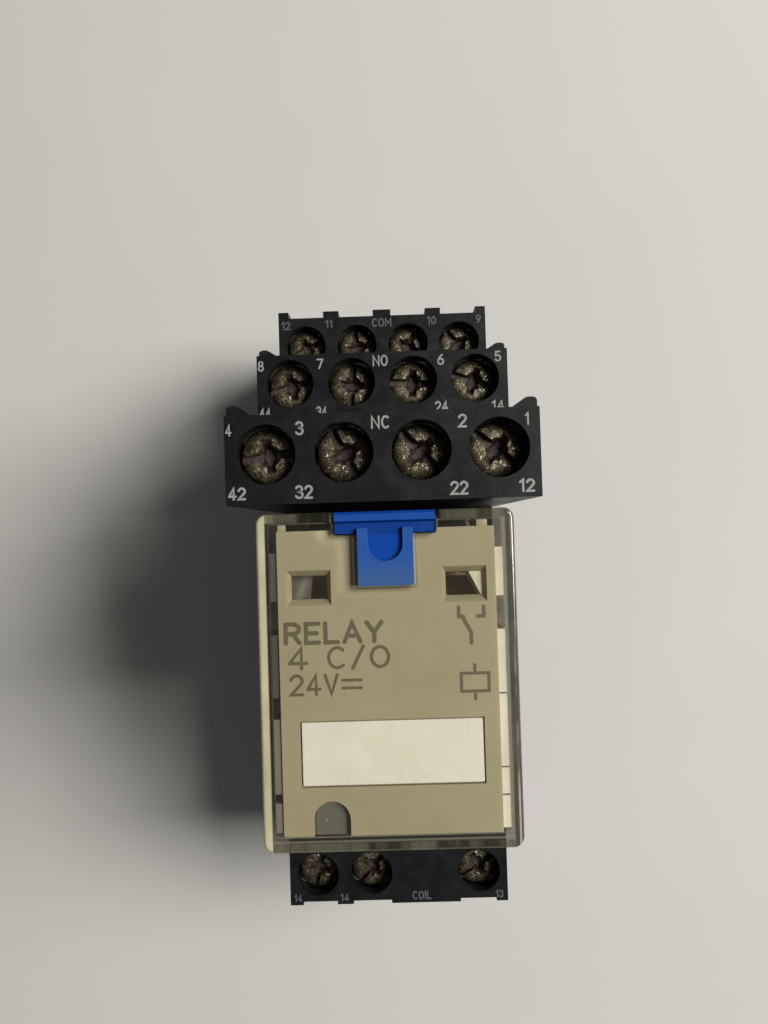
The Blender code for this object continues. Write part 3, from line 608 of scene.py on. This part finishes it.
def arc(x, y, radius_x, radius_y, start, end, steps=10):
    """Points along an elliptic arc, with angles in degrees."""
    angles = [math.radians(start + (end - start) * k / steps) for k in range(steps + 1)]
    return [(x + radius_x * math.cos(a), y + radius_y * math.sin(a)) for a in angles]


# ---------------------------------------------------------------- lettering
# single-stroke signs on a height of 1: width, then strokes; one that ends at its start is a loop
GLYPHS = {
    "0": (0.54, [arc(0.27, 0.5, 0.27, 0.5, 0, 360, 20)]),
    "1": (0.30, [[(0.0, 0.80), (0.24, 1.0), (0.24, 0.0)]]),
    "2": (0.54, [arc(0.27, 0.72, 0.27, 0.28, 168, -28) + [(0.0, 0.0), (0.54, 0.0)]]),
    "3": (0.52, [arc(0.24, 0.75, 0.25, 0.25, 158, -90, 9)[:-1]
                 + arc(0.24, 0.26, 0.28, 0.26, 90, -158)]),
    "4": (0.58, [[(0.40, 0.0), (0.40, 1.0), (0.0, 0.27)], [(0.0, 0.27), (0.58, 0.27)]]),
    "5": (0.54, [[(0.48, 1.0), (0.08, 1.0), (0.04, 0.54)]
                 + arc(0.26, 0.31, 0.27, 0.31, 128, -150)]),
    "6": (0.54, [[(0.42, 1.0), (0.20, 0.76), (0.05, 0.46), (0.0, 0.29)],
                 arc(0.27, 0.29, 0.27, 0.29, 0, 360, 18)]),
    "7": (0.52, [[(0.0, 1.0), (0.52, 1.0), (0.17, 0.0)]]),
    "8": (0.52, [arc(0.26, 0.76, 0.22, 0.24, -90, 270, 16),
                 arc(0.26, 0.26, 0.26, 0.26, 90, 450, 16)]),
    "9": (0.54, [[(0.12, 0.0), (0.34, 0.24), (0.49, 0.54), (0.54, 0.71)],
                 arc(0.27, 0.71, 0.27, 0.29, 0, 360, 18)]),
    "A": (0.62, [[(0.0, 0.0), (0.31, 1.0), (0.62, 0.0)], [(0.11, 0.32), (0.51, 0.32)]]),
    "C": (0.54, [arc(0.29, 0.5, 0.29, 0.5, 48, 312, 16)]),
    "E": (0.50, [[(0.50, 1.0), (0.0, 1.0), (0.0, 0.0), (0.50, 0.0)],
                 [(0.0, 0.5), (0.42, 0.5)]]),
    "I": (0.04, [[(0.02, 1.0), (0.02, 0.0)]]),
    "L": (0.48, [[(0.0, 1.0), (0.0, 0.0), (0.48, 0.0)]]),
    "M": (0.68, [[(0.0, 0.0), (0.0, 1.0), (0.34, 0.36), (0.68, 1.0), (0.68, 0.0)]]),
    "N": (0.56, [[(0.0, 0.0), (0.0, 1.0), (0.56, 0.0), (0.56, 1.0)]]),
    "O": (0.58, [arc(0.29, 0.5, 0.29, 0.5, 0, 360, 20)]),
    "R": (0.54, [[(0.0, 0.0), (0.0, 1.0)],
                 [(0.0, 1.0)] + arc(0.28, 0.74, 0.25, 0.26, 90, -90, 8) + [(0.0, 0.48)],
                 [(0.28, 0.48), (0.54, 0.0)]]),
    "V": (0.58, [[(0.0, 1.0), (0.29, 0.0), (0.58, 1.0)]]),
    "Y": (0.58, [[(0.0, 1.0), (0.29, 0.46), (0.58, 1.0)], [(0.29, 0.46), (0.29, 0.0)]]),
    "/": (0.38, [[(0.0, -0.06), (0.38, 1.06)]]),
    " ": (0.22, []),
}
LAYER = 0.0015          # crossing strokes differ in thickness by this, so they don't coincide


def ribbon(mesh, points, width, z, thickness):
    """A raised ribbon along points in mm, with round ends, or a ring if it ends at its start."""
    points = [Vector(place) for place in points]
    loop = (points[0] - points[-1]).length < 1e-4
    if loop:
        points = points[:-1]
    count = len(points)
    outline = []
    for i, here in enumerate(points):
        before = points[i - 1] if (i or loop) else None
        after = points[(i + 1) % count] if (i < count - 1 or loop) else None
        come = (here - (before if before is not None else here * 2 - after)).normalized() \
            if before is not None else (after - here).normalized()
        leave = (after - here).normalized() if after is not None else come
        normal_in, normal_out = Vector((-come.y, come.x)), Vector((-leave.y, leave.x))
        mitre = normal_in + normal_out
        mitre = mitre.normalized() if mitre.length > 1e-6 else normal_in
        reach = min(1.0 / max(mitre.dot(normal_in), 0.35), 2.2) * width / 2
        outline.append((here + mitre * reach, here - mitre * reach))
    top, low = [[level(mesh, pair, height) for pair in outline] for height in (z + thickness, z)]
    for i in range(count if loop else count - 1):
        j = (i + 1) % count
        mesh.faces.new((top[i][0], top[i][1], top[j][1], top[j][0]))
        mesh.faces.new((low[j][0], low[j][1], low[i][1], low[i][0]))
        mesh.faces.new((top[i][1], low[i][1], low[j][1], top[j][1]))
        mesh.faces.new((top[j][0], low[j][0], low[i][0], top[i][0]))
    if loop:
        return
    for i, neighbour, first, last in ((0, 1, 1, 0), (count - 1, count - 2, 0, 1)):
        tip = points[i]
        out = (tip - points[neighbour]).normalized()
        side = Vector((-out.y, out.x))
        top_cap, low_cap = [], []
        for k in range(1, 6):
            a = math.pi * k / 6
            place = tip + side * (width / 2 * math.cos(a)) + out * (width / 2 * math.sin(a))
            top_cap.append(mesh.verts.new(point(place.x, place.y, z + thickness)))
            low_cap.append(mesh.verts.new(point(place.x, place.y, z)))
        top_cap = [top[i][first]] + top_cap + [top[i][last]]
        low_cap = [low[i][first]] + low_cap + [low[i][last]]
        mesh.faces.new(top_cap)
        mesh.faces.new(low_cap[::-1])
        for k in range(len(top_cap) - 1):
            mesh.faces.new((top_cap[k + 1], top_cap[k], low_cap[k], low_cap[k + 1]))


def lettering(name, items, z, material, body, thickness=0.025):
    """Raised marks. items: (text, centre x, centre y, height, width scale, stroke)."""
    mesh = bmesh.new()
    for text, x, y, height, wide, stroke in items:
        gap = 0.26 * height * wide
        total = sum(GLYPHS[sign][0] * height * wide for sign in text) + gap * (len(text) - 1)
        left = x - total / 2
        inner = height - stroke
        count = 0
        for sign in text:
            width, strokes = GLYPHS[sign]
            for line in strokes:
                count += 1
                places = [(left + u * height * wide, y - inner / 2 + v * inner)
                          for u, v in line]
                ribbon(mesh, places, stroke, z, thickness + LAYER * (count % 3))
            left += width * height * wide + gap
    add(name, mesh, material, body, smooth=30)


# ---------------------------------------------------------------- CAD nodes
def dress(name, material, bevel, segments=2, angle=40.0):
    NODES[name].data.materials.append(MATS[material])
    soften(NODES[name], bevel, segments, angle)


def dress_faces(name, materials, pick, bevel, segments):
    """Gives each face the material that pick names from its centre in mm and its normal."""
    node = NODES[name]
    for key in materials:
        node.data.materials.append(MATS[key])
    for face in node.data.polygons:
        centre = face.center / MM
        chosen = pick(centre.x, centre.y - CENTRE_Y, centre.z, face.normal)
        face.material_index = materials.index(chosen)
    soften(node, bevel, segments)


def plate_face(x, y, z, normal):
    if abs(x) < 9.19 and (z > 60.79 or normal.z > 0.9):
        return "beige_plate"
    # legs at +X take the painted lit colour, legs at -X painted shade, deepest from y = -3 up
    if x > 0:
        return "plate_leg_lit"
    return "plate_leg_shaded" if y < -3 else "plate_leg_deep_shade"


def contact_face(x, y, z, normal):
    tip = 42.4 < z < 44.6 and (y < 9.2 if y > 8 else y > 6.55)
    return "contact_silver" if tip else "contact_brass"


def carrier_face(x, y, z, normal):
    if z > 59.1 and abs(x) > 4:
        return "view_flags"
    if abs(z - 43.5) < 0.95 and (y < 7.78 or y > 8.12):
        return "contact_silver"
    return "spring_bronze" if z < 50.95 else "carrier_cream"


def dress_cad():
    for name, material, bevel in (
            ("socket_body", "socket_black", 0.16), ("socket_base", "socket_black", 0.2),
            ("din_latch", "latch_black", 0.2), ("relay_base", "relay_base_black", 0.15),
            ("write_on_label", "label_card", 0.04), ("yoke", "nickel_iron", 0.12),
            ("iron_core", "nickel_iron", 0.12), ("coil_bobbin", "bobbin_nylon", 0.12),
            ("armature", "nickel_iron", 0.1), ("test_button", "button_yellow", 0.12)):
        dress(name, material, bevel)
    dress("relay_cover", "smoked_cover", 0.32, segments=3)
    dress("test_lever", "lever_blue", 0.12, segments=3, angle=35)
    dress_faces("indicator_plate",
                ("beige_plate", "plate_leg_lit", "plate_leg_shaded", "plate_leg_deep_shade"),
                plate_face, bevel=0.07, segments=2)
    dress_faces("contact_carrier",
                ("carrier_cream", "spring_bronze", "contact_silver", "view_flags"),
                carrier_face, bevel=0.06, segments=1)
    for name in sorted(NODES):
        if name.startswith("wire_clamp"):
            dress(name, "clamp_zinc", 0.1)
        if name.split("_")[0] in ("nc", "no"):
            dress_faces(name, ("contact_brass", "contact_silver"), contact_face,
                        bevel=0.05, segments=1)
        if name.startswith(("com_terminal", "coil_terminal")):
            dress(name, "contact_brass", 0.05, segments=1)


# ---------------------------------------------------------------- terminal screws
HEAD_RADIUS = 2.53
THREAD_LOW, THREAD_HIGH, THREAD_PITCH = -6.6, -2.1, 0.5
CORE_RADIUS, RIDGE_RADIUS = 1.25, 1.45
# how far each terminal's screw is turned, in degrees
SCREW_TURNS = {
    "04": 8, "03": 118, "02": 132, "01": 140, "08": 14, "07": 84, "06": 176, "05": 160,
    "12": 25, "11": 100, "10": 60, "09": 128, "14a": 75, "14b": 48, "13": 30,
}


def screw_blank():
    """A pan head over a threaded shank, its top at z = 0."""
    profile = [(0, -7.0), (0.9, -7.0), (CORE_RADIUS, THREAD_LOW)]
    z = THREAD_LOW
    while z < THREAD_HIGH:
        profile += [(CORE_RADIUS, z + 0.1), (RIDGE_RADIUS, z + 0.3), (CORE_RADIUS, z + 0.5)]
        z += THREAD_PITCH
    profile += [(1.3, -1.5), (2.25, -1.5), (HEAD_RADIUS, -1.35), (HEAD_RADIUS, -0.75),
                (2.48, -0.55), (2.34, -0.34), (2.08, -0.17), (1.6, -0.05), (0.8, 0.0), (0, 0.0)]
    mesh = bmesh.new()
    turned(mesh, profile, Vector((0, 0, 0)), sides=40)
    return mesh_object("screw_head", mesh)


def recess_cutters():
    """A straight slot right across, a cross wing over it, and a tapered centre hole."""
    slot = bmesh.new()
    for vert in cube(slot, Vector((-3.2, -0.30, -0.80)) * MM, Vector((3.2, 0.30, 0.6)) * MM):
        if vert.co.z > 0:        # the walls flare upwards
            vert.co.y *= 1.5
    wing = bmesh.new()
    for vert in cube(wing, Vector((-0.48, -1.95, -1.25)) * MM, Vector((0.48, 1.95, 0.6)) * MM):
        if vert.co.z < 0:        # and the wings taper down to the centre
            vert.co.y *= 0.40
            vert.co.x *= 0.65
    hole = bmesh.new()
    turned(hole, [(0, -1.30), (0.45, -1.22), (0.80, -0.50), (1.22, 0.4), (0, 0.4)],
           Vector((0, 0, 0)), sides=24)
    return [mesh_object(name, mesh)
            for name, mesh in (("slot", slot), ("wing", wing), ("hole", hole))]


def screw_data():
    """The finished screw mesh, with its recess cut and edges rounded."""
    blank = screw_blank()
    cutters = recess_cutters()
    for cutter in cutters:
        cut = blank.modifiers.new("cut", "BOOLEAN")
        cut.operation = "DIFFERENCE"
        cut.solver = "EXACT"
        cut.object = cutter
    weld = blank.modifiers.new("weld", "WELD")
    weld.merge_threshold = 2e-6
    bevel = blank.modifiers.new("round", "BEVEL")
    bevel.width = 0.11 * MM
    bevel.segments = 3
    bevel.limit_method = "ANGLE"
    bevel.angle_limit = math.radians(35)
    bpy.context.view_layer.update()
    evaluated = blank.evaluated_get(bpy.context.evaluated_depsgraph_get())
    data = bpy.data.meshes.new_from_object(evaluated)
    for spent in cutters + [blank]:
        bpy.data.objects.remove(spent, do_unlink=True)
    data.materials.clear()
    data.materials.append(MATS["screw_zinc"])
    smooth_under(data, 32)
    data.name = "screw_head"
    return data


def screws():
    data = screw_data()
    for label, turn in SCREW_TURNS.items():
        node = f"terminal_screw_{label}"
        low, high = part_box(node)
        screw = new_object(f"screw_{label}", data)
        screw.location = ((low.x + high.x) / 2, (low.y + high.y) / 2, high.z)
        screw.rotation_euler = (0, 0, math.radians(turn))
        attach(screw, f"screw_{label}")
        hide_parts(node)
        NODES[node].data.materials.append(MATS["screw_zinc"])


# ---------------------------------------------------------------- socket metal and sills
TERMINALS = [(x, y, z) for y, z in ((19.16, NC_DECK), (28.42, NO_DECK), (36.64, COM_DECK))
             for x in COLUMNS]
TERMINALS += [(COLUMNS[k], -30.3, COIL_DECK) for k in (0, 1, 3)]


def ring_plate(mesh, x, y, low, high, half_x, half_y, radius, sides=20):
    """A rectangular plate with a round hole."""
    outer, inner = [], []
    for k in range(sides):
        a = 2 * math.pi * (k + 0.5) / sides
        cos, sin = math.cos(a), math.sin(a)
        reach = min(half_x / abs(cos), half_y / abs(sin))
        outer.append((x + cos * reach, y + sin * reach))
        inner.append((x + cos * radius, y + sin * radius))
    outer_top, inner_top = level(mesh, outer, high), level(mesh, inner, high)
    outer_low, inner_low = level(mesh, outer, low), level(mesh, inner, low)
    for k in range(sides):
        j = (k + 1) % sides
        mesh.faces.new((inner_top[k], outer_top[k], outer_top[j], inner_top[j]))
        mesh.faces.new((inner_low[j], outer_low[j], outer_low[k], inner_low[k]))
        mesh.faces.new((outer_top[k], outer_low[k], outer_low[j], outer_top[j]))
        mesh.faces.new((inner_top[j], inner_low[j], inner_low[k], inner_top[k]))


def terminal_bars():
    mesh = bmesh.new()
    for x, y, deck in TERMINALS:
        ring_plate(mesh, x, y, low=deck - 5.40, high=deck - 5.05,
                   half_x=2.6, half_y=2.45, radius=1.62)
    add("terminal_bars", mesh, "contact_brass", "socket", smooth=30)


def window_web():
    """A small pale web between the plate and its window."""
    outline = [(6.95, 8.69), (8.07, 8.69), (8.07, 6.71), (7.92, 6.71)]
    mesh = bmesh.new()
    top, low = level(mesh, outline, 61.12), level(mesh, outline, 60.9)
    mesh.faces.new(top)
    mesh.faces.new(low[::-1])
    bridge(mesh, top, low)
    add("window_web", mesh, "window_web", "relay", smooth=30, bevel=0.05)


def wire_sills():
    mesh = bmesh.new()
    for x_low, x_high in ((-12.25, -7.8), (-7.75, -1.1), (7.6, 12.3)):
        cube(mesh, point(x_low, -34.35, 23.1), point(x_high, -33.5, 24.15))
    add("wire_sills", mesh, "socket_black", "socket", smooth=30, bevel=0.15)


CLIP_Y = (10.35, 5.9, -1.5, -10.35)
CLIP_HALF_WIDTH, LEAF_THICKNESS = 1.2, 0.15
# one leaf's inner face from its flared mouth down: distance from the blade's middle, height
CLIP_LEAF = [(0.43, 26.5), (0.30, 25.6), (0.27, 21.5), (0.36, 19.0), (0.36, 15.5)]


def clip_leaf(mesh, x, y, side):
    rows = []
    for offset, z in CLIP_LEAF:
        row = [mesh.verts.new(point(x + end * CLIP_HALF_WIDTH, y + side * distance, z))
               for end in (-1, 1) for distance in (offset, offset + LEAF_THICKNESS)]
        rows.append([row[k] for k in (0, 1, 3, 2)])
    for upper, lower in zip(rows, rows[1:]):
        bridge(mesh, upper, lower)
    mesh.faces.new((rows[0][0], *rows[0][:0:-1]))
    mesh.faces.new(rows[-1])


def relay_clips():
    """Pairs of leaves that pinch the relay's blades."""
    mesh = bmesh.new()
    for x in BLADE_X:
        for y in CLIP_Y:
            if y == CLIP_Y[-1] and abs(x) < 4:      # this row has outer clips only
                continue
            for side in (-1, 1):
                clip_leaf(mesh, x, y, side)
    add("relay_clips", mesh, "spring_bronze", "socket", smooth=30)


# ---------------------------------------------------------------- lamp board
LAMP_X, LENS_Y, LENS_RADIUS = -5.1, -11.7, 1.46
PART_Y, PART_Z = -11.6, 57.95          # axis of the parts that lie along X on the board
RESISTOR_X = 2.6


def lamp_board():
    mesh = bmesh.new()
    cube(mesh, point(-7.6, -13.0, 56.62), point(7.6, -9.12, 57.32))
    board = add("lamp_board", mesh, "circuit_board", "relay", bevel=0.06)
    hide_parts("led_board")
    NODES["led_board"].data.materials.append(MATS["circuit_board"])


def lamp_lens():
    """A D-shaped block, round towards +Y."""
    foot = LENS_Y - LENS_RADIUS
    outline = [(LAMP_X + LENS_RADIUS, foot),
               *arc(LAMP_X, LENS_Y, LENS_RADIUS, LENS_RADIUS, 0, 180, 18),
               (LAMP_X - LENS_RADIUS, foot)]
    mesh = bmesh.new()
    low, top = level(mesh, outline, 57.3), level(mesh, outline, 61.1)
    mesh.faces.new(low[::-1])
    mesh.faces.new(top)
    bridge(mesh, low, top)
    add("lamp_lens", mesh, "lamp_lens", "relay", smooth=40, bevel=0.06)


def lamp_leads():
    profile = [(0, 0), (0.13, 0), (0.13, 3.4), (0.16, 3.5), (0.16, 3.7), (0.1, 3.77), (0, 3.78)]
    mesh = bmesh.new()
    for offset in (-0.58, 0.64):
        turned(mesh, profile, point(LAMP_X + offset, -11.97, 57.4), sides=16)
    add("lamp_leads", mesh, "contact_silver", "relay")


def resistor():
    mesh = bmesh.new()
    turned(mesh, [(0, -1.6), (0.45, -1.6), (0.62, -1.4), (0.62, -1.1), (0.5, -0.95),
                  (0.5, 0.95), (0.62, 1.1), (0.62, 1.4), (0.45, 1.6), (0, 1.6)],
           point(RESISTOR_X, PART_Y, PART_Z), sides=24, axis="X")
    add("resistor", mesh, "carrier_cream", "relay")
    mesh = bmesh.new()
    for offset in (-1.25, -0.6, -0.1, 0.4, 1.25):
        outer = 0.635 if abs(offset) > 1 else 0.515
        inner = outer - 0.04
        turned(mesh, [(inner, -0.12), (outer, -0.12), (outer, 0.12), (inner, 0.12)],
               point(RESISTOR_X + offset, PART_Y, PART_Z), sides=24, axis="X", closed=True)
    add("resistor_bands", mesh, "mark_brown", "relay")


def diode():
    mesh = bmesh.new()
    turned(mesh, [(0, -0.9), (0.5, -0.9), (0.55, -0.8), (0.55, 0.8), (0.5, 0.9), (0, 0.9)],
           point(-1.0, PART_Y, PART_Z), sides=20, axis="X")
    add("diode", mesh, "relay_base_black", "relay")


def component_leads():
    points = [(0.3, PART_Y, 57.35), (0.4, PART_Y, PART_Z), (1.4, PART_Y, PART_Z)]
    relay_wire("component_leads", points, 0.14, "tinned_wire")


# ---------------------------------------------------------------- coil
COIL_Y = -4.5
CORE_HOLE, WINDING_RADIUS = 3.95, 6.0
WINDING_LOW, LAST_TURN, WINDING_HIGH, TURN_PITCH = 34.1, 55.1, 55.35, 0.3
TAPE_STARTS, TAPE_WIDTH, TAPE_SIDES = (35.6, 42.3, 49.0), 5.4, 64


def winding():
    profile = [(CORE_HOLE, WINDING_LOW), (WINDING_RADIUS, WINDING_LOW)]
    z = WINDING_LOW
    while z < LAST_TURN:
        profile += [(6.02, z + 0.03), (6.14, z + 0.15), (6.02, z + 0.27)]
        z += TURN_PITCH
    profile += [(WINDING_RADIUS, WINDING_HIGH), (CORE_HOLE, WINDING_HIGH)]
    mesh = bmesh.new()
    turned(mesh, profile, point(0, COIL_Y, 0), sides=48, closed=True)
    coil = add("winding", mesh, "coil_copper", "relay", smooth=60)
    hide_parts("coil_winding")
    NODES["coil_winding"].data.materials.append(MATS["coil_copper"])


def tape():
    """Three bands of film that spiral out a little and overlap at their ends."""
    mesh = bmesh.new()
    for start in TAPE_STARTS:
        rows = []
        for k in range(TAPE_SIDES + 3):
            a = 2 * math.pi * k / TAPE_SIDES
            radius = 6.17 + 0.05 * k / TAPE_SIDES
            x, y = radius * math.cos(a), COIL_Y + radius * math.sin(a)
            rows.append([mesh.verts.new(point(x, y, z)) for z in (start, start + TAPE_WIDTH)])
        for near, far in zip(rows, rows[1:]):
            mesh.faces.new((near[0], far[0], far[1], near[1]))
    film = add("coil_tape", mesh, "coil_tape", "relay", smooth=60)
    solid = film.modifiers.new("film", "SOLIDIFY")
    solid.thickness = 0.04 * MM
    solid.offset = 1


# leads from the winding to the coil blades, then leads up to the lamp board; the +X one of each:
# name, radius, material, slot, points
LEADS = [
    ("coil_lead", 0.16, "coil_copper", "coil_wire",
     [(5.2, -8.2, 34.3), (6.6, -9.6, 33.9), (7.2, -11.0, 34.6), (6.6, -11.7, 36.2),
      (6.6, -11.75, 37.4)]),
    ("board_lead", 0.22, "tinned_wire", "contact_brass",
     [(6.9, -11.72, 37.0), (7.2, -12.3, 42.0), (7.4, -12.35, 50.0), (7.1, -12.2, 56.5)]),
]


def leads():
    for name, radius, material, slot, points in LEADS:
        for letter, side in (("l", -1), ("r", 1)):
            mirrored = [(side * x, y, z) for x, y, z in points]
            relay_wire(f"{name}_{letter}", mirrored, radius, material)


def contact_braids():
    """Curved braids that run between the relay and the swinging carrier."""
    for i, x in enumerate(BLADE_X):
        side = -1 if x < 0 else 1
        out, bow = (9.15, 9.4) if abs(x) > 4 else (8.75, 10.4)      # furthest x, and y there
        points = [(x, 8.25, 51.8), (x, 9.2, 51.2), (x + side * 0.6, bow + 0.6, 49.0),
                  (side * out, bow, 46.5), (side * out, bow - 1.5, 41.0),
                  (side * out, 3.0 + 0.5 * (i % 2), 36.0), (side * out, -1.0, 33.0),
                  (side * (out - 0.8), -1.5, 31.5)]
        braid = tube(f"contact_braid_{i + 1}", points, 0.24, "spring_bronze")
        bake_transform(braid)


# ---------------------------------------------------------------- printed marks
# name, ink, deck, then each mark: text, x, y, height, width scale, stroke
DECK_MARKS = [
    ("nc_deck_marks", "mark_white", NC_DECK, [
        ("4", -13.12, 21.3, 1.05, 0.66, 0.15), ("3", -7.02, 21.3, 1.22, 0.85, 0.19),
        ("NC", -0.1, 21.6, 1.15, 0.92, 0.17), ("2", 6.9, 21.5, 1.18, 0.90, 0.19),
        ("1", 12.4, 21.5, 1.1, 0.7, 0.16), ("42", -12.52, 15.84, 1.12, 0.88, 0.20),
        ("32", -6.78, 15.84, 1.2, 0.84, 0.20), ("22", 6.45, 15.78, 1.2, 0.84, 0.20),
        ("12", 12.2, 15.82, 1.15, 0.92, 0.20)]),
    ("no_deck_marks", "mark_white", NO_DECK, [
        ("8", -13.05, 30.4, 1.15, 0.82, 0.17), ("7", -6.65, 30.45, 1.15, 0.92, 0.18),
        ("NO", -0.15, 30.6, 1.22, 0.86, 0.17), ("6", 6.35, 30.5, 1.2, 0.88, 0.18),
        ("5", 12.5, 30.65, 1.15, 0.9, 0.17), ("44", -12.7, 25.3, 1.15, 0.68, 0.17),
        ("34", -6.6, 25.3, 1.15, 0.66, 0.17), ("24", 6.3, 25.45, 1.15, 0.8, 0.18),
        ("14", 12.35, 25.35, 1.15, 0.92, 0.17)]),
    ("com_deck_marks", "mark_grey", COM_DECK, [
        ("12", -12.55, 39.35, 1.1, 0.85, 0.17), ("11", -6.9, 39.4, 1.1, 0.85, 0.17),
        ("COM", 0.0, 39.4, 1.15, 0.9, 0.18), ("10", 6.5, 39.45, 1.1, 0.85, 0.17),
        ("9", 12.6, 39.45, 1.1, 0.85, 0.17), ("41", -6.7, 33.6, 1.1, 0.9, 0.17),
        ("31", -0.1, 33.6, 1.1, 0.9, 0.17), ("21", 6.7, 33.6, 1.1, 0.9, 0.17),
        ("11", 12.4, 33.6, 1.1, 0.9, 0.17)]),
    ("coil_deck_marks", "mark_grey", COIL_DECK, [
        ("14", -12.55, -33.15, 0.95, 0.8, 0.16), ("14", -6.75, -33.2, 0.95, 0.85, 0.16),
        ("COIL", 2.85, -33.1, 1.05, 0.88, 0.17), ("13", 12.45, -33.15, 0.95, 0.8, 0.16),
        ("A2", -6.8, -26.6, 1.0, 0.9, 0.16), ("A1", 6.8, -26.6, 1.0, 0.9, 0.16)]),
]
PLATE_MARKS = [
    ("RELAY", -4.55, 3.9, 1.95, 1.10, 0.36), ("4 C/O", -4.15, 1.8, 1.95, 1.28, 0.27),
    ("24V", -6.3, -0.42, 1.85, 0.95, 0.26),
]
PLATE_INK = 0.02         # thickness
# stroke, layers added to the thickness, points
PLATE_SYMBOLS = [
    # direct current: a line over three dashes
    (0.25, 0, [(-3.9, -0.1), (-2.35, -0.1)]),
    *[(0.25, 0, [(-3.9 + 0.6 * k, -0.75), (-3.55 + 0.6 * k, -0.75)]) for k in range(3)],
    # a changeover contact
    (0.30, 0, [(7.0, 2.7), (7.0, 3.6), (6.25, 5.0)]),
    (0.30, 1, [(6.0, 5.75), (6.0, 4.95), (6.4, 4.95)]),
    (0.30, 0, [(8.1, 5.75), (8.1, 4.95), (7.6, 4.95)]),
    # a coil box and its two ends
    (0.26, 0, [(6.05, 0.2), (6.05, -1.3), (8.35, -1.3), (8.35, 0.2), (6.05, 0.2)]),
    (0.26, 1, [(7.2, 0.45), (7.2, 0.9)]),
    (0.26, 1, [(7.2, -1.55), (7.2, -1.95)]),
]


def marks():
    for name, material, deck, items in DECK_MARKS:
        lettering(name, items, deck, material, "socket")
    lettering("plate_marks", PLATE_MARKS, PLATE_TOP, "mark_brown", "relay",
              PLATE_INK)
    mesh = bmesh.new()
    for stroke, layers, points in PLATE_SYMBOLS:
        ribbon(mesh, points, stroke, PLATE_TOP, PLATE_INK + LAYER * layers)
    add("plate_symbols", mesh, "mark_brown", "relay", smooth=0)


# ---------------------------------------------------------------- stage
def floor():
    """A pale floor, painted lighter away from the piece, where less of the key light reaches."""
    mat = Mat("floor_pale")
    near = mat.mix(mat.noise(scale=30), (0.375, 0.365, 0.35), (0.395, 0.385, 0.37))
    squared = mat.math("ADD", mat.times(mat.axis("X"), mat.axis("X")),
                       mat.times(mat.axis("Y"), mat.axis("Y")))
    # painted light: the floor's colour rises with distance from the piece
    mat.set(Base_Color=mat.mix(mat.fade(squared, 0.03, 0.9), near, (0.90, 0.885, 0.86)),
            Roughness=0.95, Specular_IOR_Level=0.1)
    mesh = bmesh.new()
    bmesh.ops.create_grid(mesh, x_segments=1, y_segments=1, size=3.0)
    ground = mesh_object("floor", mesh, recalc=False)
    ground.data.materials.append(mat.material)
    ground.location = (0, 0, -0.0001)


def area(name, place, aim, size, watts, color):
    """A square area light; places and size in metres."""
    light = bpy.data.lights.new(name, "AREA")
    light.shape = "RECTANGLE"
    light.size = light.size_y = size
    light.energy = watts
    light.color = color
    lamp = new_object(name, light)
    lamp.location = place
    lamp.rotation_mode = "QUATERNION"
    lamp.rotation_quaternion = (Vector(aim) - Vector(place)).to_track_quat("-Z", "Y")


def studio_world():
    """A pale backdrop for the camera, and a dim light on the piece."""
    world = bpy.data.worlds.new("studio")
    world.use_nodes = True
    nodes, links = world.node_tree.nodes, world.node_tree.links
    ambient = nodes["Background"]
    ambient.inputs[0].default_value = (0.80, 0.82, 0.85, 1)
    ambient.inputs[1].default_value = 0.10
    backdrop = nodes.new("ShaderNodeBackground")
    backdrop.inputs[0].default_value = (0.34, 0.338, 0.33, 1)
    path = nodes.new("ShaderNodeLightPath")
    blend = nodes.new("ShaderNodeMixShader")
    links.new(path.outputs["Is Camera Ray"], blend.inputs[0])
    links.new(ambient.outputs[0], blend.inputs[1])
    links.new(backdrop.outputs[0], blend.inputs[2])
    links.new(blend.outputs[0], nodes["World Output"].inputs[0])
    SCENE.world = world
    SCENE.view_settings.view_transform = "Standard"


VIEW_TURN = {"X": -0.021, "Y": -0.013, "Z": 0.031}      # radians
VIEW_AIM = (0.006, 13.884, 0)                           # seen point, from the cover's top
VIEW_DISTANCE = 63.571


def camera():
    """Close over the relay's top, looking down."""
    turn = (Matrix.Rotation(VIEW_TURN["Z"], 3, "Z") @ Matrix.Rotation(VIEW_TURN["Y"], 3, "Y")
            @ Matrix.Rotation(VIEW_TURN["X"], 3, "X")).transposed()
    eye = Vector(VIEW_AIM) + turn @ Vector((0, 0, VIEW_DISTANCE))
    lens = bpy.data.cameras.new("camera")
    lens.sensor_width = 36.0
    lens.lens = 27.0
    lens.clip_start = 0.001
    lens.clip_end = 10.0
    viewer = new_object("camera", lens)
    place = point(eye.x, eye.y, eye.z + COVER_TOP)
    viewer.matrix_world = Matrix.Translation(place) @ turn.to_4x4()
    SCENE.camera = viewer


# ---------------------------------------------------------------- build
dress_cad()
for build in (screws, terminal_bars, window_web, wire_sills, relay_clips,
              lamp_board, lamp_lens, lamp_leads, resistor, diode, component_leads,
              winding, tape, leads, contact_braids, marks, floor):
    build()
area("key", place=(0.56, 0.14, 0.67), aim=(0, 0, 0.03), size=0.44, watts=16.0,
     color=(1.0, 0.985, 0.95))
area("fill", place=(-0.75, -0.55, 0.45), aim=(0, 0, 0.02), size=0.7, watts=1.15,
     color=(1.0, 0.95, 0.86))
studio_world()
camera()
